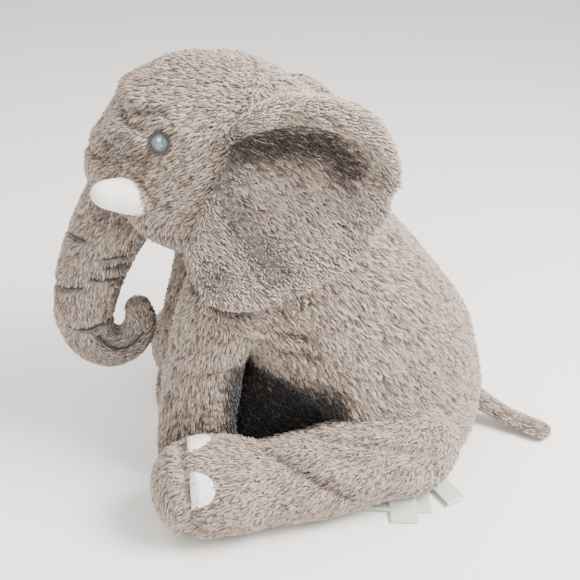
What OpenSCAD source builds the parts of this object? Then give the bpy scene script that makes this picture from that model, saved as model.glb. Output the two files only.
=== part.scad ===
// Sitting stuffed elephant: plush covers sewn over loose filling.
// It faces -Y, its left side is +X, and it sits on the plane z = 0.

/* [Body] */
// Half width of the rump at its fullest
rump_half_w = 104; // [98:1:108]
// Half depth of the rump, front to back
rump_half_d = 109; // [104:1:112]
// Height of the neck seam's middle above the seat
neck_z = 262; // [258:1:266]
// Width of the belly panel
belly_w = 84; // [60:2:100]
// Thickness of a plush panel with its pile pressed
cloth = 3; // [2.5:0.1:3.5]

/* [Head] */
// Half length of the head, face to nape
head_half_d = 92; // [88:1:94]
// Half width of the head between the ears
head_half_w = 75; // [72:1:76]
// Width of the forehead and chin panels
face_panel_w = 44; // [36:2:52]
// Radius of an embroidered eye
eye_r = 9.5; // [8:0.5:11]
// Radius of a tusk at its root
tusk_r = 14; // [12:0.5:14.5]
// Length of a tusk
tusk_len = 42; // [36:1:46]

/* [Trunk] */
// Radius of the trunk where it leaves the face
trunk_root_r = 34; // [32:0.5:35]
// Radius of the trunk at its bend
trunk_bend_r = 27; // [25:0.5:28]
// Radius of the trunk's end
trunk_end_r = 12; // [10:0.5:13]

/* [Ears] */
// How far the ear is dished
ear_cup = 16; // [8:1:18]
// How far the right ear droops below the left one, in degrees
ear_droop = 24; // [18:1:26]

/* [Legs] */
// Radius of a front leg
front_leg_r = 35; // [32:0.5:35.5]
// Radius of a thigh
thigh_r = 42; // [40:0.5:42.5]
// Half width of a hind foot
foot_half_w = 43; // [40:0.5:43.5]
// How far a hind sole bulges past its seam
sole_bulge = 30; // [24:1:34]

/* [Tail] */
// Half width of the tail
tail_half_w = 12.5; // [11:0.5:13]

/* [Hidden] */

gap = 1;                 // running room between a limb's ball and its socket
fill_gap = 0.4;          // room between a cover and its filling
nail_thick = 1;
front_nail_r = 13;
hind_nail_r = 15.5;
far = 400;               // larger than the whole toy
seat_y = 8;              // the rump's middle, front to back
neck = [0, -112, neck_z];
pellet_r = 44;
pellet_h = 38;
neck_tilt = 20;          // the neck seam leans forward by this angle
neck_ball_r = 50;
nod_cone = 17;           // the head's rim stays this many degrees above the neck plane
trunk_root = [0, -210, 287];
trunk_bend = [0, -266, 165];
shoulder = [46, -142, 188];
shoulder_r = 36;
hip = [88, 30, 44];
tail_root = [0, 110, 36];
tail_root_r = 13;
eye_at = [64, -182.5, 339];
tusk_at = [51, -204, 290];
ear_root_top = [72, -128, 351];
ear_root_low = [74, -170, 254];
ear_root_bow = 9;        // the root follows the head's side outwards by this much
// Where each outline point of the ear hangs from along its root, then the point itself
ear_edge = [
    [0.00, [80, -86, 380]], [0.10, [100, -59, 385]], [0.25, [110, -23, 366]],
    [0.45, [118, -12, 322]], [0.65, [120, -37, 264]], [0.85, [118, -116, 222]],
    [1.00, [100, -160, 222]]
];

// Torso rings from the seat to the neck: [y, z, half width, half depth, forward tilt]
torso_rings = [
    [seat_y, 0, rump_half_w - 16, rump_half_d - 15, 0],
    [seat_y, 12, rump_half_w - 6, rump_half_d - 5, 0],
    [9, 40, rump_half_w, rump_half_d, 4],
    [4, 78, rump_half_w, rump_half_d - 1, 8],
    [-6, 118, rump_half_w - 4, rump_half_d - 3, 14],
    [-34, 160, rump_half_w - 12, rump_half_d - 5, 18],
    [-62, 200, rump_half_w - 22, rump_half_d - 11, 20],
    [-84, 232, rump_half_w - 34, rump_half_d - 15, 20],
    [-100, 256, rump_half_w - 42, rump_half_d - 29, 20],
    [-112, 280, rump_half_w - 60, rump_half_d - 55, 20]
];
// Head rings, the same way, from the chin to the crown
head_rings = [
    [-152, 236, head_half_w - 33, head_half_d - 52, 0],
    [-150, 250, head_half_w - 14, head_half_d - 30, 0],
    [-147, 272, head_half_w - 3, head_half_d - 10, 0],
    [-144, 300, head_half_w, head_half_d, 0],
    [-142, 330, head_half_w - 2, head_half_d, 0],
    [-140, 354, head_half_w - 9, head_half_d - 9, 0],
    [-141, 373, head_half_w - 24, head_half_d - 26, 0],
    [-143, 387, head_half_w - 43, head_half_d - 47, 0],
    [-145, 395, head_half_w - 62, head_half_d - 72, 0]
];
// Limb rings: [x, y, z, radius across, radius upright]
front_leg_rings = [
    [shoulder.x, shoulder.y, shoulder.z, shoulder_r, shoulder_r],
    [43, -158, 130, front_leg_r, front_leg_r],
    [41, -168, 70, front_leg_r - 0.5, front_leg_r],
    [40, -171, 24, front_leg_r, front_leg_r + 2],
    [40, -171, cloth + 1, front_leg_r - 3, front_leg_r - 1]
];
hind_leg_rings = [
    [hip.x, hip.y, hip.z, thigh_r, thigh_r],
    [102, -20, 44, thigh_r, thigh_r],
    [112, -70, 42, thigh_r - 2, thigh_r - 2],
    [117, -112, 39, thigh_r - 5, thigh_r - 4.5],
    [119, -140, 45, foot_half_w - 1, foot_half_w + 0.5],
    [120, -165, 47, foot_half_w, foot_half_w + 3],
    [120, -184, 47, foot_half_w - 3, foot_half_w]
];
trunk_upper_rings = [
    [0, trunk_root.y, trunk_root.z, trunk_root_r, trunk_root_r],
    [0, -236, 245, trunk_root_r - 1, trunk_root_r - 1],
    [0, -256, 203, trunk_root_r - 4, trunk_root_r - 4],
    [0, trunk_bend.y, trunk_bend.z, trunk_bend_r, trunk_bend_r],
    [0, -266, 150, trunk_bend_r, trunk_bend_r]
];
trunk_tip_rings = [
    [0, trunk_bend.y, trunk_bend.z, trunk_bend_r - 1, trunk_bend_r - 1],
    [0, -262, 136, 22, 22],
    [0, -244, 123, 19, 19],
    [0, -226, 129, 16, 16],
    [0, -216, 147, trunk_end_r + 2, trunk_end_r + 2],
    [0, -217, 162, trunk_end_r, trunk_end_r]
];
tail_rings = [
    [tail_root.x, tail_root.y, tail_root.z, tail_root_r - 1, tail_root_r - 1],
    [6, 131, 22, tail_half_w, 9],
    [20, 153, 12, tail_half_w, 8],
    [41, 180, 8, tail_half_w - 1, 7]
];

plush = [0.66, 0.61, 0.58];
plush_dark = [0.55, 0.50, 0.47];
fill_white = [0.93, 0.92, 0.88];
felt_white = [0.95, 0.94, 0.91];
thread_dark = [0.28, 0.25, 0.24];

// ---- geometry helpers ----
function unit(v) = v / norm(v);
function near(list, i) = list[max(0, min(len(list) - 1, i))];
function bend4(a, b, c, d, t) =
    0.5 * (2 * b + (c - a) * t + (2 * a - 5 * b + 4 * c - d) * t * t
        + (3 * b - a - 3 * c + d) * t * t * t);
// A smooth run of rings through the given ones
function refine(list, steps) = [
    for (i = [0:len(list) - 2])
        for (k = [0:steps - 1])
            bend4(near(list, i - 1), list[i], list[i + 1], near(list, i + 2), k / steps),
    list[len(list) - 1]
];
function centre(ring) = [ring[0], ring[1], ring[2]];
function heading(list, i) =
    unit(centre(near(list, i + 1)) - centre(near(list, i - 1)));
// One ring of points round a centre, square to the direction dir
function ring_points(at, dir, a, b, sides) =
    let (u = unit([1, 0, 0] - dir * dir.x), v = cross(dir, u))
    [for (k = [0:sides - 1]) at + u * a * cos(360 * k / sides) + v * b * sin(360 * k / sides)];
// Round ends: rings that close in a dome of the given depth
function dome(at, dir, a, b, depth, sides) = [
    for (q = [35, 65])
        ring_points(at + dir * depth * sin(q), dir, a * cos(q), b * cos(q), sides)
];

module skin_of(rings, first, last) {
    sides = len(rings[0]);
    count = len(rings);
    points = concat([for (r = rings) each r], [first, last]);
    faces = concat(
        [for (i = [0:count - 2]) for (k = [0:sides - 1])
            let (n = (k + 1) % sides)
            each [
                [i * sides + k, (i + 1) * sides + k, (i + 1) * sides + n],
                [i * sides + k, (i + 1) * sides + n, i * sides + n]
            ]],
        [for (k = [0:sides - 1]) [count * sides, k, (k + 1) % sides]],
        [for (k = [0:sides - 1])
            [count * sides + 1, (count - 1) * sides + (k + 1) % sides, (count - 1) * sides + k]]
    );
    polyhedron(points = points, faces = faces, convexity = 6);
}

// A tube through limb rings, shrunk by inset, with a dome or a flat face at each end.
// push moves the flat end face outwards, to cut a cover open there.
module limb(list, inset = 0, steps = 2, sides = 16, dome_start = true, end_depth = 0,
        push = 0) {
    run = refine(list, steps);
    last = len(run) - 1;
    r0 = run[0];
    r1 = run[last];
    d0 = heading(run, 0);
    d1 = heading(run, last);
    body = [for (i = [0:last])
        ring_points(centre(run[i]) + heading(run, i) * (i == last ? push : 0), heading(run, i),
            run[i][3] - inset, run[i][4] - inset, sides)];
    start_rings = dome_start
        ? [for (i = [1:-1:0]) dome(centre(r0), -d0, r0[3] - inset, r0[4] - inset,
            r0[3] - inset, sides)[i]] : [];
    end_rings = end_depth > 0
        ? dome(centre(r1), d1, r1[3] - inset, r1[4] - inset, end_depth - inset, sides) : [];
    skin_of(
        concat([for (r = start_rings) reverse_ring(r)], body, end_rings),
        centre(r0) - d0 * (dome_start ? r0[3] - inset : 0),
        centre(r1) + d1 * (push + (end_depth > 0 ? end_depth - inset : 0))
    );
}
// The dome behind a limb's start runs the other way round
function reverse_ring(r) =
    let (n = len(r)) [for (k = [0:n - 1]) r[(n - k) % n]];

function tilt_dir(t) = [0, -sin(t), cos(t)];
// A barrel through rings of the form [y, z, half width, half depth, tilt]
module barrel(list, inset, sides) {
    first = list[0];
    last = list[len(list) - 1];
    rings = [for (r = list)
        ring_points([0, r[0], r[1]], tilt_dir(r[4]), r[2] - inset, r[3] - inset, sides)];
    skin_of(rings, [0, first[0], first[1]], [0, last[0], last[1]]);
}
module torso(inset = 0) barrel(torso_rings, inset, 24);

module below_neck(drop = 0) {
    translate(neck) rotate([neck_tilt, 0, 0]) translate([-far, -far, -far - drop])
        cube([2 * far, 2 * far, far]);
}

// A cone of room for a limb that swings inside its socket
module swing_room(at, r, dir, spread, length) {
    translate(at) sphere(r = r, $fn = 48);
    translate(at) rotate([0, acos(dir.z), atan2(dir.y, dir.x)])
        cylinder(h = length, r1 = r, r2 = r + length * tan(spread), $fn = 48);
}
module both_sides() {
    children();
    mirror([1, 0, 0]) children();
}
module shoulder_room(more = 0) {
    swing_room(shoulder, shoulder_r + gap + more, unit([-0.02, -0.14, -1]), 8, 98);
}
module hip_room() {
    swing_room(hip, thigh_r + gap + 0.8, unit([0.48, -0.88, 0]), 14, 130);
}
module tail_room(more = 0) {
    swing_room(tail_root, tail_root_r + gap + more, unit([0.16, 0.8, -0.45]), 34, 26);
}
module torso_shell() {
    difference() {
        intersection() {
            torso();
            below_neck(1);
            translate([-far, -far, cloth]) cube([2 * far, 2 * far, far]);
        }
        torso(cloth);
        both_sides() {
            shoulder_room();
            hip_room();
        }
        tail_room();
    }
}
// The belly panel's share of the torso: a strip up the front
module belly_zone() {
    translate([-belly_w / 2, -far, 0]) cube([belly_w, far - 70, far]);
}
module body_side(side) {
    color(plush) difference() {
        torso_shell();
        belly_zone();
        translate([side > 0 ? -far : 0, -far, -far]) cube([far, 2 * far, 2 * far]);
    }
}
module body_side_left() body_side(1);
module body_side_right() body_side(-1);
module belly_gusset() {
    color(plush) intersection() {
        torso_shell();
        belly_zone();
    }
}
function oval(a, b, n) = [for (k = [0:n - 1]) [a * cos(360 * k / n), b * sin(360 * k / n)]];
module seat_panel() {
    color(plush_dark) difference() {
        translate([0, seat_y, 0]) linear_extrude(cloth)
            polygon(oval(rump_half_w - 16, rump_half_d - 15, 40));
        both_sides() hip_room();
    }
}
module pellet_shape(r, h, foot = 0) {
    translate([0, seat_y, cloth]) rotate_extrude($fn = 48)
        polygon([[0, -foot], [r * 0.85, -foot], [r * 0.85, 0], [r, h * 0.3], [r, h * 0.6],
            [r * 0.7, h], [0, h]]);
}
module body_stuffing() {
    color(fill_white) difference() {
        intersection() {
            torso(cloth + fill_gap);
            below_neck(1);
            translate([-far, -far, cloth + fill_gap]) cube([2 * far, 2 * far, far]);
        }
        both_sides() {
            shoulder_room(cloth);
            limb(hind_leg_rings, -gap - cloth);
        }
        tail_room(cloth);
        pellet_shape(pellet_r + fill_gap, pellet_h + fill_gap, cloth);
    }
}
module pellet_bag() {
    color([0.85, 0.83, 0.78]) pellet_shape(pellet_r, pellet_h);
}
module neck_stuffing() {
    color(fill_white) difference() {
        translate(neck) sphere(r = neck_ball_r, $fn = 64);
        below_neck(-fill_gap);
    }
}

module label_outline() {
    difference() {
        children();
        translate([0, seat_y]) polygon(oval(rump_half_w - 16, rump_half_d - 15, 40));
    }
}
module care_label_strip() {
    color(felt_white) translate([0, 0, 0.2]) linear_extrude(0.7) label_outline()
        translate([103, -20]) rotate(-72) square([66, 22], center = true);
}
module care_label_tag() {
    color(felt_white) translate([0, 0, 0.2]) linear_extrude(1.4) label_outline()
        translate([112, 29]) rotate(-12) square([36, 26], center = true);
}
module care_label_loop() {
    color(felt_white) translate([0, 0, 0.2]) difference() {
        linear_extrude(4) label_outline()
            translate([102, 59]) rotate(20) square([34, 20], center = true);
        translate([102, 59, 0.7]) rotate([0, 0, 20])
            translate([-60, -far, 0]) cube([75.5, 2 * far, 2.6]);
    }
}
module closing_stitches() {
    color(thread_dark) for (r = [for (i = [3:6]) torso_rings[i]])
        translate([0, r[0] + (r[3] + 0.6) * cos(r[4]), r[1] + (r[3] + 0.6) * sin(r[4])])
            rotate([0, 90, 0]) cylinder(h = 7, r = 0.5, center = true, $fn = 16);
}

// ---- head ----
// Inset rings are pulled towards the head's middle in height as well
module head_solid(inset = 0) {
    pulled = [for (r = head_rings)
        [r[0], r[1] + (r[1] > 300 ? -inset : inset), r[2], r[3], r[4]]];
    barrel(pulled, inset, 22);
}
module neck_room(more = 0) {
    translate(neck) sphere(r = neck_ball_r + gap + more, $fn = 64);
    neck_cone(more);
}
module neck_cone(more = 0) {
    translate(neck) rotate([neck_tilt + 6, 0, 0]) rotate_extrude($fn = 64)
        polygon([[0, more], [far, more + far * tan(nod_cone - 7)], [far, -far], [0, -far]]);
}
module trunk_room(more = 0) {
    r = trunk_root_r + gap + more;
    w = r + 1;
    translate(trunk_root) sphere(r = r, $fn = 64);
    for (a = [-56, -28])
        translate(trunk_root) rotate([a, 0, 0]) translate([-w, -2 * w, -100])
            cube([2 * w, 3 * w, 100 + more]);
}
tusk_dir = unit([9, -38, 16]);
module point_along(dir) {
    rotate([0, acos(dir.z), atan2(dir.y, dir.x)]) children();
}
module tusk_profile(inset) {
    r = tusk_r - inset;
    top = tusk_len - inset;
    translate(tusk_at) point_along(tusk_dir) rotate_extrude($fn = 48)
        polygon([[0, inset - 8], [r, inset - 8], [r + 0.5, 0], [r * 0.93, top * 0.33],
            [r * 0.72, top * 0.66], [r * 0.45, top * 0.88], [r * 0.2, top * 0.985], [0, top]]);
}
module eye_disc(r, h) {
    translate(eye_at) point_along(unit([0.88, -0.35, 0.32]))
        translate([0, 0, -1.2]) cylinder(h = h, r = r, $fn = 48);
}
module head_shell() {
    difference() {
        head_solid();
        head_solid(cloth);
        neck_room();
        trunk_room();
        both_sides() {
            tusk_profile(-0.3);
            eye_disc(eye_r + 0.2, 8);
        }
    }
}
// The forehead and chin panels' share of the head: a strip over the middle
module face_strip() {
    translate([-face_panel_w / 2, -far, 0]) cube([face_panel_w, 2 * far, far * 2]);
}
module over_trunk() {
    translate(trunk_root) rotate([-40, 0, 0]) translate([-far, -far, 0])
        cube([2 * far, 2 * far, far]);
}
module head_side(side) {
    color(plush) difference() {
        head_shell();
        face_strip();
        translate([side > 0 ? -far : 0, -far, 0]) cube([far, 2 * far, 2 * far]);
    }
}
module head_side_left() head_side(1);
module head_side_right() head_side(-1);
module forehead_gusset() {
    color(plush) intersection() {
        head_shell();
        face_strip();
        over_trunk();
    }
}
// The chin panel closes the head's underside in front of the neck
module chin_zone(more = 0) {
    translate([-face_panel_w / 2 - more, -far - 166 + more, 0])
        cube([face_panel_w + 2 * more, far, far]);
}
module chin_gusset() {
    color(plush_dark) difference() {
        intersection() {
            head_solid();
            neck_cone(cloth);
            chin_zone();
        }
        neck_cone();
        trunk_room();
    }
}
module head_stuffing() {
    color(fill_white) difference() {
        head_solid(cloth + fill_gap);
        neck_room();
        intersection() {
            neck_cone(cloth + fill_gap);
            chin_zone(fill_gap);
        }
        trunk_room(cloth);
        both_sides() {
            tusk_profile(-0.7);
            eye_disc(eye_r + 1, 12);
        }
    }
}
module eye_left() color([0.45, 0.53, 0.60]) eye_disc(eye_r, 2.4);
module eye_right() mirror([1, 0, 0]) eye_left();
module tusk_left() {
    color(felt_white) difference() {
        tusk_profile(0);
        tusk_profile(2);
    }
}
module tusk_right() mirror([1, 0, 0]) tusk_left();
module tusk_stuffing() color(fill_white) both_sides() tusk_profile(2 + fill_gap);

// ---- trunk ----
module bend_room(more = 0) {
    translate(trunk_bend) sphere(r = trunk_bend_r + gap + more, $fn = 64);
    for (a = [18, -26])
        translate(trunk_bend) rotate([a, 0, 0]) translate([-60, -70, -70])
            cube([120, 140, 70 + more]);
}
module trunk_upper(inset = 0) limb(trunk_upper_rings, inset);
module trunk_tip(inset = 0) limb(trunk_tip_rings, inset, 2, 14, true, trunk_end_r);
// Thin bands in a limb's surface where a wrinkle thread is sewn
module upper_grooves() {
    intersection() {
        difference() {
            trunk_upper();
            trunk_upper(0.8);
        }
        for (k = [0:3])
            translate([0, -240 - 6 * k, 246 - 17 * k]) rotate([-28 + 6 * k, 0, 0])
                cube([120, 90, 1.2], center = true);
    }
}
module tip_grooves() {
    intersection() {
        difference() {
            trunk_tip();
            trunk_tip(0.8);
        }
        for (k = [0:2])
            translate([0, -252, 150]) rotate([15 + 28 * k, 0, 0])
                translate([-60, -0.6, -60]) cube([120, 1.2, 60]);
    }
}
module trunk_upper_cover() {
    color(plush) difference() {
        trunk_upper();
        trunk_upper(cloth);
        bend_room();
        upper_grooves();
    }
}
module trunk_upper_stuffing() {
    color(fill_white) difference() {
        trunk_upper(cloth + fill_gap);
        bend_room(cloth);
    }
}
module trunk_upper_threads() color(thread_dark) difference() {
    upper_grooves();
    bend_room();
}
module trunk_tip_cover() {
    color(plush) difference() {
        trunk_tip();
        trunk_tip(cloth);
        tip_grooves();
    }
}
module trunk_tip_stuffing() color(fill_white) trunk_tip(cloth + fill_gap);
module trunk_tip_threads() color(thread_dark) tip_grooves();

// ---- ears ----
function mix(a, b, t) = a + (b - a) * t;
function ear_point(edge, s) =
    mix(mix(ear_root_top, ear_root_low, edge[0]) + [ear_root_bow * sin(180 * edge[0]), 0, 0],
        edge[1], s) - [ear_cup * sin(180 * s) * (0.45 + 0.55 * sin(180 * edge[0])), 0, 0];
// One cloth layer of the left ear, lying between two offsets across its thickness
module ear_layer(low, high) {
    edge = refine(ear_edge, 3);
    across = 6;
    row = across + 1;
    count = len(edge);
    side = row * count;
    points = concat(
        [for (e = edge) for (i = [0:across]) ear_point(e, i / across) + [high, 0, 0]],
        [for (e = edge) for (i = [0:across]) ear_point(e, i / across) + [low, 0, 0]]);
    rim = concat(
        [for (i = [0:across]) i],
        [for (j = [1:count - 1]) j * row + across],
        [for (i = [across - 1:-1:0]) (count - 1) * row + i],
        [for (j = [count - 2:-1:1]) j * row]);
    sheet = [for (j = [0:count - 2]) for (i = [0:across - 1])
        let (a = j * row + i, b = a + 1, c = a + row, d = c + 1)
        each [[a, c, b], [b, c, d]]];
    faces = concat(
        sheet,
        [for (f = sheet) [side + f[0], side + f[2], side + f[1]]],
        [for (i = [0:len(rim) - 1])
            let (a = rim[i], b = rim[(i + 1) % len(rim)])
            each [[a, b, side + b], [a, side + b, side + a]]]);
    polyhedron(points = points, faces = faces, convexity = 6);
}
module right_ear() {
    middle = (ear_root_top + ear_root_low) / 2;
    mirror([1, 0, 0]) translate(middle) rotate([-ear_droop, 0, 0]) translate(-middle)
        children();
}
module ear_left_front() color(plush) ear_layer(0.2, cloth + 0.2);
module ear_left_back() color(plush_dark) ear_layer(-cloth - 0.2, -0.2);
module ear_right_front() color(plush) right_ear() ear_layer(0.2, cloth + 0.2);
module ear_right_back() color(plush_dark) right_ear() ear_layer(-cloth - 0.2, -0.2);

// ---- legs ----
module limb_cover(list) {
    color(plush) difference() {
        limb(list);
        limb(list, cloth, push = 1);
    }
}
module front_leg_left_cover() limb_cover(front_leg_rings);
module front_leg_left_stuffing() color(fill_white) limb(front_leg_rings, cloth + fill_gap);
module front_leg_left_sole() {
    foot = front_leg_rings[len(front_leg_rings) - 1];
    color(plush_dark) translate([foot[0], foot[1], 0]) linear_extrude(cloth - 0.1)
        polygon(oval(foot[3], foot[4], 36));
}
module front_leg_left_toenails() {
    color(felt_white) intersection() {
        difference() {
            limb(front_leg_rings, -nail_thick);
            limb(front_leg_rings, push = 1);
        }
        for (turn = [-46, 0, 46])
            translate([40, -171, 4]) rotate([0, 0, turn]) rotate([90, 0, 0])
                difference() {
                    cylinder(h = 60, r = front_nail_r, $fn = 32);
                    translate([-far, -far, -1]) cube([2 * far, far, 80]);
                }
    }
}
module front_leg_right_cover() mirror([1, 0, 0]) front_leg_left_cover();
module front_leg_right_sole() mirror([1, 0, 0]) front_leg_left_sole();
module front_leg_right_stuffing() mirror([1, 0, 0]) front_leg_left_stuffing();
module front_leg_right_toenails() mirror([1, 0, 0]) front_leg_left_toenails();

module hind_leg_left_cover() limb_cover(hind_leg_rings);
module hind_leg_left_stuffing() color(fill_white) limb(hind_leg_rings, cloth + fill_gap);
module hind_leg_left_sole() {
    rim = hind_leg_rings[len(hind_leg_rings) - 1];
    y_seam = rim[1] - 1;
    color(plush_dark) translate([rim[0], y_seam, rim[2]]) skin_of(
        concat(
            [ring_points([0, 0, 0], [0, -1, 0], rim[3], rim[4], 24)],
            [for (q = [22, 44, 66])
                ring_points([0, -sole_bulge * sin(q), 0], [0, -1, 0],
                    rim[3] * cos(q), rim[4] * cos(q), 24)]),
        [0, 0, 0], [0, -sole_bulge, 0]);
}
module hind_leg_left_toenails() {
    rim = hind_leg_rings[len(hind_leg_rings) - 1];
    color(felt_white) intersection() {
        difference() {
            limb(hind_leg_rings, -nail_thick);
            limb(hind_leg_rings, push = 1);
        }
        for (turn = [36, 102, 168])
            translate([rim[0], rim[1] + 1, rim[2]]) rotate([0, 90 - turn, 0])
                difference() {
                    cylinder(h = 80, r = hind_nail_r, $fn = 32);
                    translate([-far, -far, -1]) cube([2 * far, far, 90]);
                }
    }
}
module hind_leg_right_cover() mirror([1, 0, 0]) hind_leg_left_cover();
module hind_leg_right_sole() mirror([1, 0, 0]) hind_leg_left_sole();
module hind_leg_right_stuffing() mirror([1, 0, 0]) hind_leg_left_stuffing();
module hind_leg_right_toenails() mirror([1, 0, 0]) hind_leg_left_toenails();

// ---- tail ----
module tail_cover() {
    color(plush) difference() {
        limb(tail_rings, 0, 2, 14, true, 7);
        limb(tail_rings, cloth, 2, 14, true, 7);
    }
}
module tail_stuffing() color(fill_white) limb(tail_rings, cloth + fill_gap, 2, 14, true, 7);

body_side_left();
body_side_right();
belly_gusset();
seat_panel();
body_stuffing();
neck_stuffing();
pellet_bag();
care_label_strip();
care_label_tag();
care_label_loop();
closing_stitches();
head_side_left();
head_side_right();
forehead_gusset();
chin_gusset();
head_stuffing();
eye_left();
eye_right();
tusk_left();
tusk_right();
tusk_stuffing();
trunk_upper_cover();
trunk_upper_stuffing();
trunk_upper_threads();
trunk_tip_cover();
trunk_tip_stuffing();
trunk_tip_threads();
ear_left_front();
ear_left_back();
ear_right_front();
ear_right_back();
front_leg_left_cover();
front_leg_left_sole();
front_leg_left_stuffing();
front_leg_left_toenails();
front_leg_right_cover();
front_leg_right_sole();
front_leg_right_stuffing();
front_leg_right_toenails();
hind_leg_left_cover();
hind_leg_left_sole();
hind_leg_left_stuffing();
hind_leg_left_toenails();
hind_leg_right_cover();
hind_leg_right_sole();
hind_leg_right_stuffing();
hind_leg_right_toenails();
tail_cover();
tail_stuffing();
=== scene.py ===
import bpy
import bmesh
import math
import random
import numpy as np
from mathutils import Matrix, Vector, noise
from mathutils.bvhtree import BVHTree


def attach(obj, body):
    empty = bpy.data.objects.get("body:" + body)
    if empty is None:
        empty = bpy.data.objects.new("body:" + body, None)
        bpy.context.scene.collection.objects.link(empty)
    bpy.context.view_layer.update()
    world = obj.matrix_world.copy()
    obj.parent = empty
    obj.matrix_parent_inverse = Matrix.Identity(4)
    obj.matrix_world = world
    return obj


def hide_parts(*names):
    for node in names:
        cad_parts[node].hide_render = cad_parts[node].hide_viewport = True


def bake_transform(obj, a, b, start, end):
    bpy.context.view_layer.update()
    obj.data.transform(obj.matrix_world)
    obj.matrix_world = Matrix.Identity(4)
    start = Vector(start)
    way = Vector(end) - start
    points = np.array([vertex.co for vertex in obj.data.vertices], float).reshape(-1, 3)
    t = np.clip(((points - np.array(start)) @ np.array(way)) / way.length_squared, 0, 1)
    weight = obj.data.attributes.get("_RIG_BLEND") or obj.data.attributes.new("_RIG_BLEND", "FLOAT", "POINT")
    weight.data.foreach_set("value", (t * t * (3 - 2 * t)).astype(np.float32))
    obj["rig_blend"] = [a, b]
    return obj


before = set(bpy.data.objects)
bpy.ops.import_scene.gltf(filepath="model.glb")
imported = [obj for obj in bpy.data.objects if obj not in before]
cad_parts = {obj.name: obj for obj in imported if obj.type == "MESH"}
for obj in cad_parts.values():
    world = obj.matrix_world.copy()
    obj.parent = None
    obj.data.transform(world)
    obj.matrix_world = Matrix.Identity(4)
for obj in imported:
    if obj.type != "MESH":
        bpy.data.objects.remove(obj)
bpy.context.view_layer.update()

mm = 0.001


def pt(p):
    return Vector(p) * mm


# selecting and tidying, as by hand
def deselect():
    if bpy.context.object and bpy.context.object.mode != "OBJECT":
        bpy.ops.object.mode_set(mode="OBJECT")
    bpy.ops.object.select_all(action="DESELECT")


def only(obj):
    deselect()
    obj.hide_set(False)
    obj.select_set(True)
    bpy.context.view_layer.objects.active = obj


def applyModifiers(obj):
    only(obj)
    for modifier in list(obj.modifiers):
        bpy.ops.object.modifier_apply(modifier=modifier.name)


def settle(obj):
    only(obj)
    bpy.ops.object.transform_apply(location=True, rotation=True, scale=True)


def joinInto(obj, others):
    deselect()
    for other in others:
        other.select_set(True)
    obj.select_set(True)
    bpy.context.view_layer.objects.active = obj
    bpy.ops.object.join()
    return obj


def remove(*objs):
    for obj in objs:
        bpy.data.objects.remove(obj, do_unlink=True)


def duplicate(obj, name):
    copy = obj.copy()
    copy.data = obj.data.copy()
    copy.name = name
    copy.animation_data_clear()
    for key in list(copy.keys()):
        if key.startswith("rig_"):
            del copy[key]
    copy.parent = None
    bpy.context.collection.objects.link(copy)
    return copy


def points(obj):
    flat = np.empty(len(obj.data.vertices) * 3)
    obj.data.vertices.foreach_get("co", flat)
    return flat.reshape(-1, 3)


def normals(obj):
    flat = np.empty(len(obj.data.vertices) * 3, np.float32)
    obj.data.vertex_normals.foreach_get("vector", flat)
    return flat.reshape(-1, 3).astype(float)


def setPoints(obj, co):
    obj.data.vertices.foreach_set("co", np.ascontiguousarray(co, dtype=np.float32).ravel())
    obj.data.update()


def treeOf(obj):
    mesh = bmesh.new()
    mesh.from_mesh(obj.data)
    tree = BVHTree.FromBMesh(mesh)
    mesh.free()
    return tree


def smoothStep(x, low, high):
    t = np.clip((x - low) / (high - low), 0, 1)
    return t * t * (3 - 2 * t)


# camera, light and floor
cameraFacts = dict(azimuth=82, elevation=29, distance=0.85, lens=56, target=(0, -75, 170))


def makeCamera():
    a, e = math.radians(cameraFacts["azimuth"]), math.radians(cameraFacts["elevation"])
    back = Vector((math.sin(a) * math.cos(e), -math.cos(a) * math.cos(e), math.sin(e)))
    bpy.ops.object.camera_add()
    camera = bpy.context.object
    camera.name = "viewCamera"
    camera.data.lens = cameraFacts["lens"]
    camera.data.sensor_width = 36
    camera.location = pt(cameraFacts["target"]) + back * cameraFacts["distance"]
    camera.rotation_mode = "QUATERNION"
    camera.rotation_quaternion = (-back).to_track_quat("-Z", "Y")
    camera.data.clip_start, camera.data.clip_end = 0.01, 50
    bpy.context.scene.camera = camera


lightFacts = dict(
    key=dict(at=(0.55, 0.75, 1.25), size=0.7, power=64, colour=(1.0, 0.97, 0.93)),
    fill=dict(at=(1.3, -0.9, 0.9), size=1.6, power=15, colour=(1.0, 0.99, 0.975)),
    top=dict(at=(-0.5, -0.4, 1.6), size=1.4, power=14, colour=(1.0, 1.0, 1.0)),
)


def makeLights():
    aim = Vector((0, -0.04, 0.15))
    for name, facts in lightFacts.items():
        bpy.ops.object.light_add(type="AREA", location=facts["at"])
        light = bpy.context.object
        light.name = name + "Light"
        light.data.size = facts["size"]
        light.data.energy = facts["power"]
        light.data.color = facts["colour"]
        light.rotation_mode = "QUATERNION"
        light.rotation_quaternion = (aim - light.location).to_track_quat("-Z", "Y")
    world = bpy.data.worlds.new("paleRoom")
    world.use_nodes = True
    world.node_tree.nodes["Background"].inputs[0].default_value = (0.975, 0.95, 0.91, 1)
    world.node_tree.nodes["Background"].inputs[1].default_value = 1.2
    bpy.context.scene.world = world


def plainMaterial(name, colour, roughness=0.9, sheen=0.0):
    material = bpy.data.materials.new(name)
    material.use_nodes = True
    shader = material.node_tree.nodes["Principled BSDF"]
    shader.inputs["Base Color"].default_value = (*colour, 1)
    shader.inputs["Roughness"].default_value = roughness
    shader.inputs["Specular IOR Level"].default_value = 0.2
    shader.inputs["Sheen Weight"].default_value = sheen
    shader.inputs["Sheen Roughness"].default_value = 0.55
    return material


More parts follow.
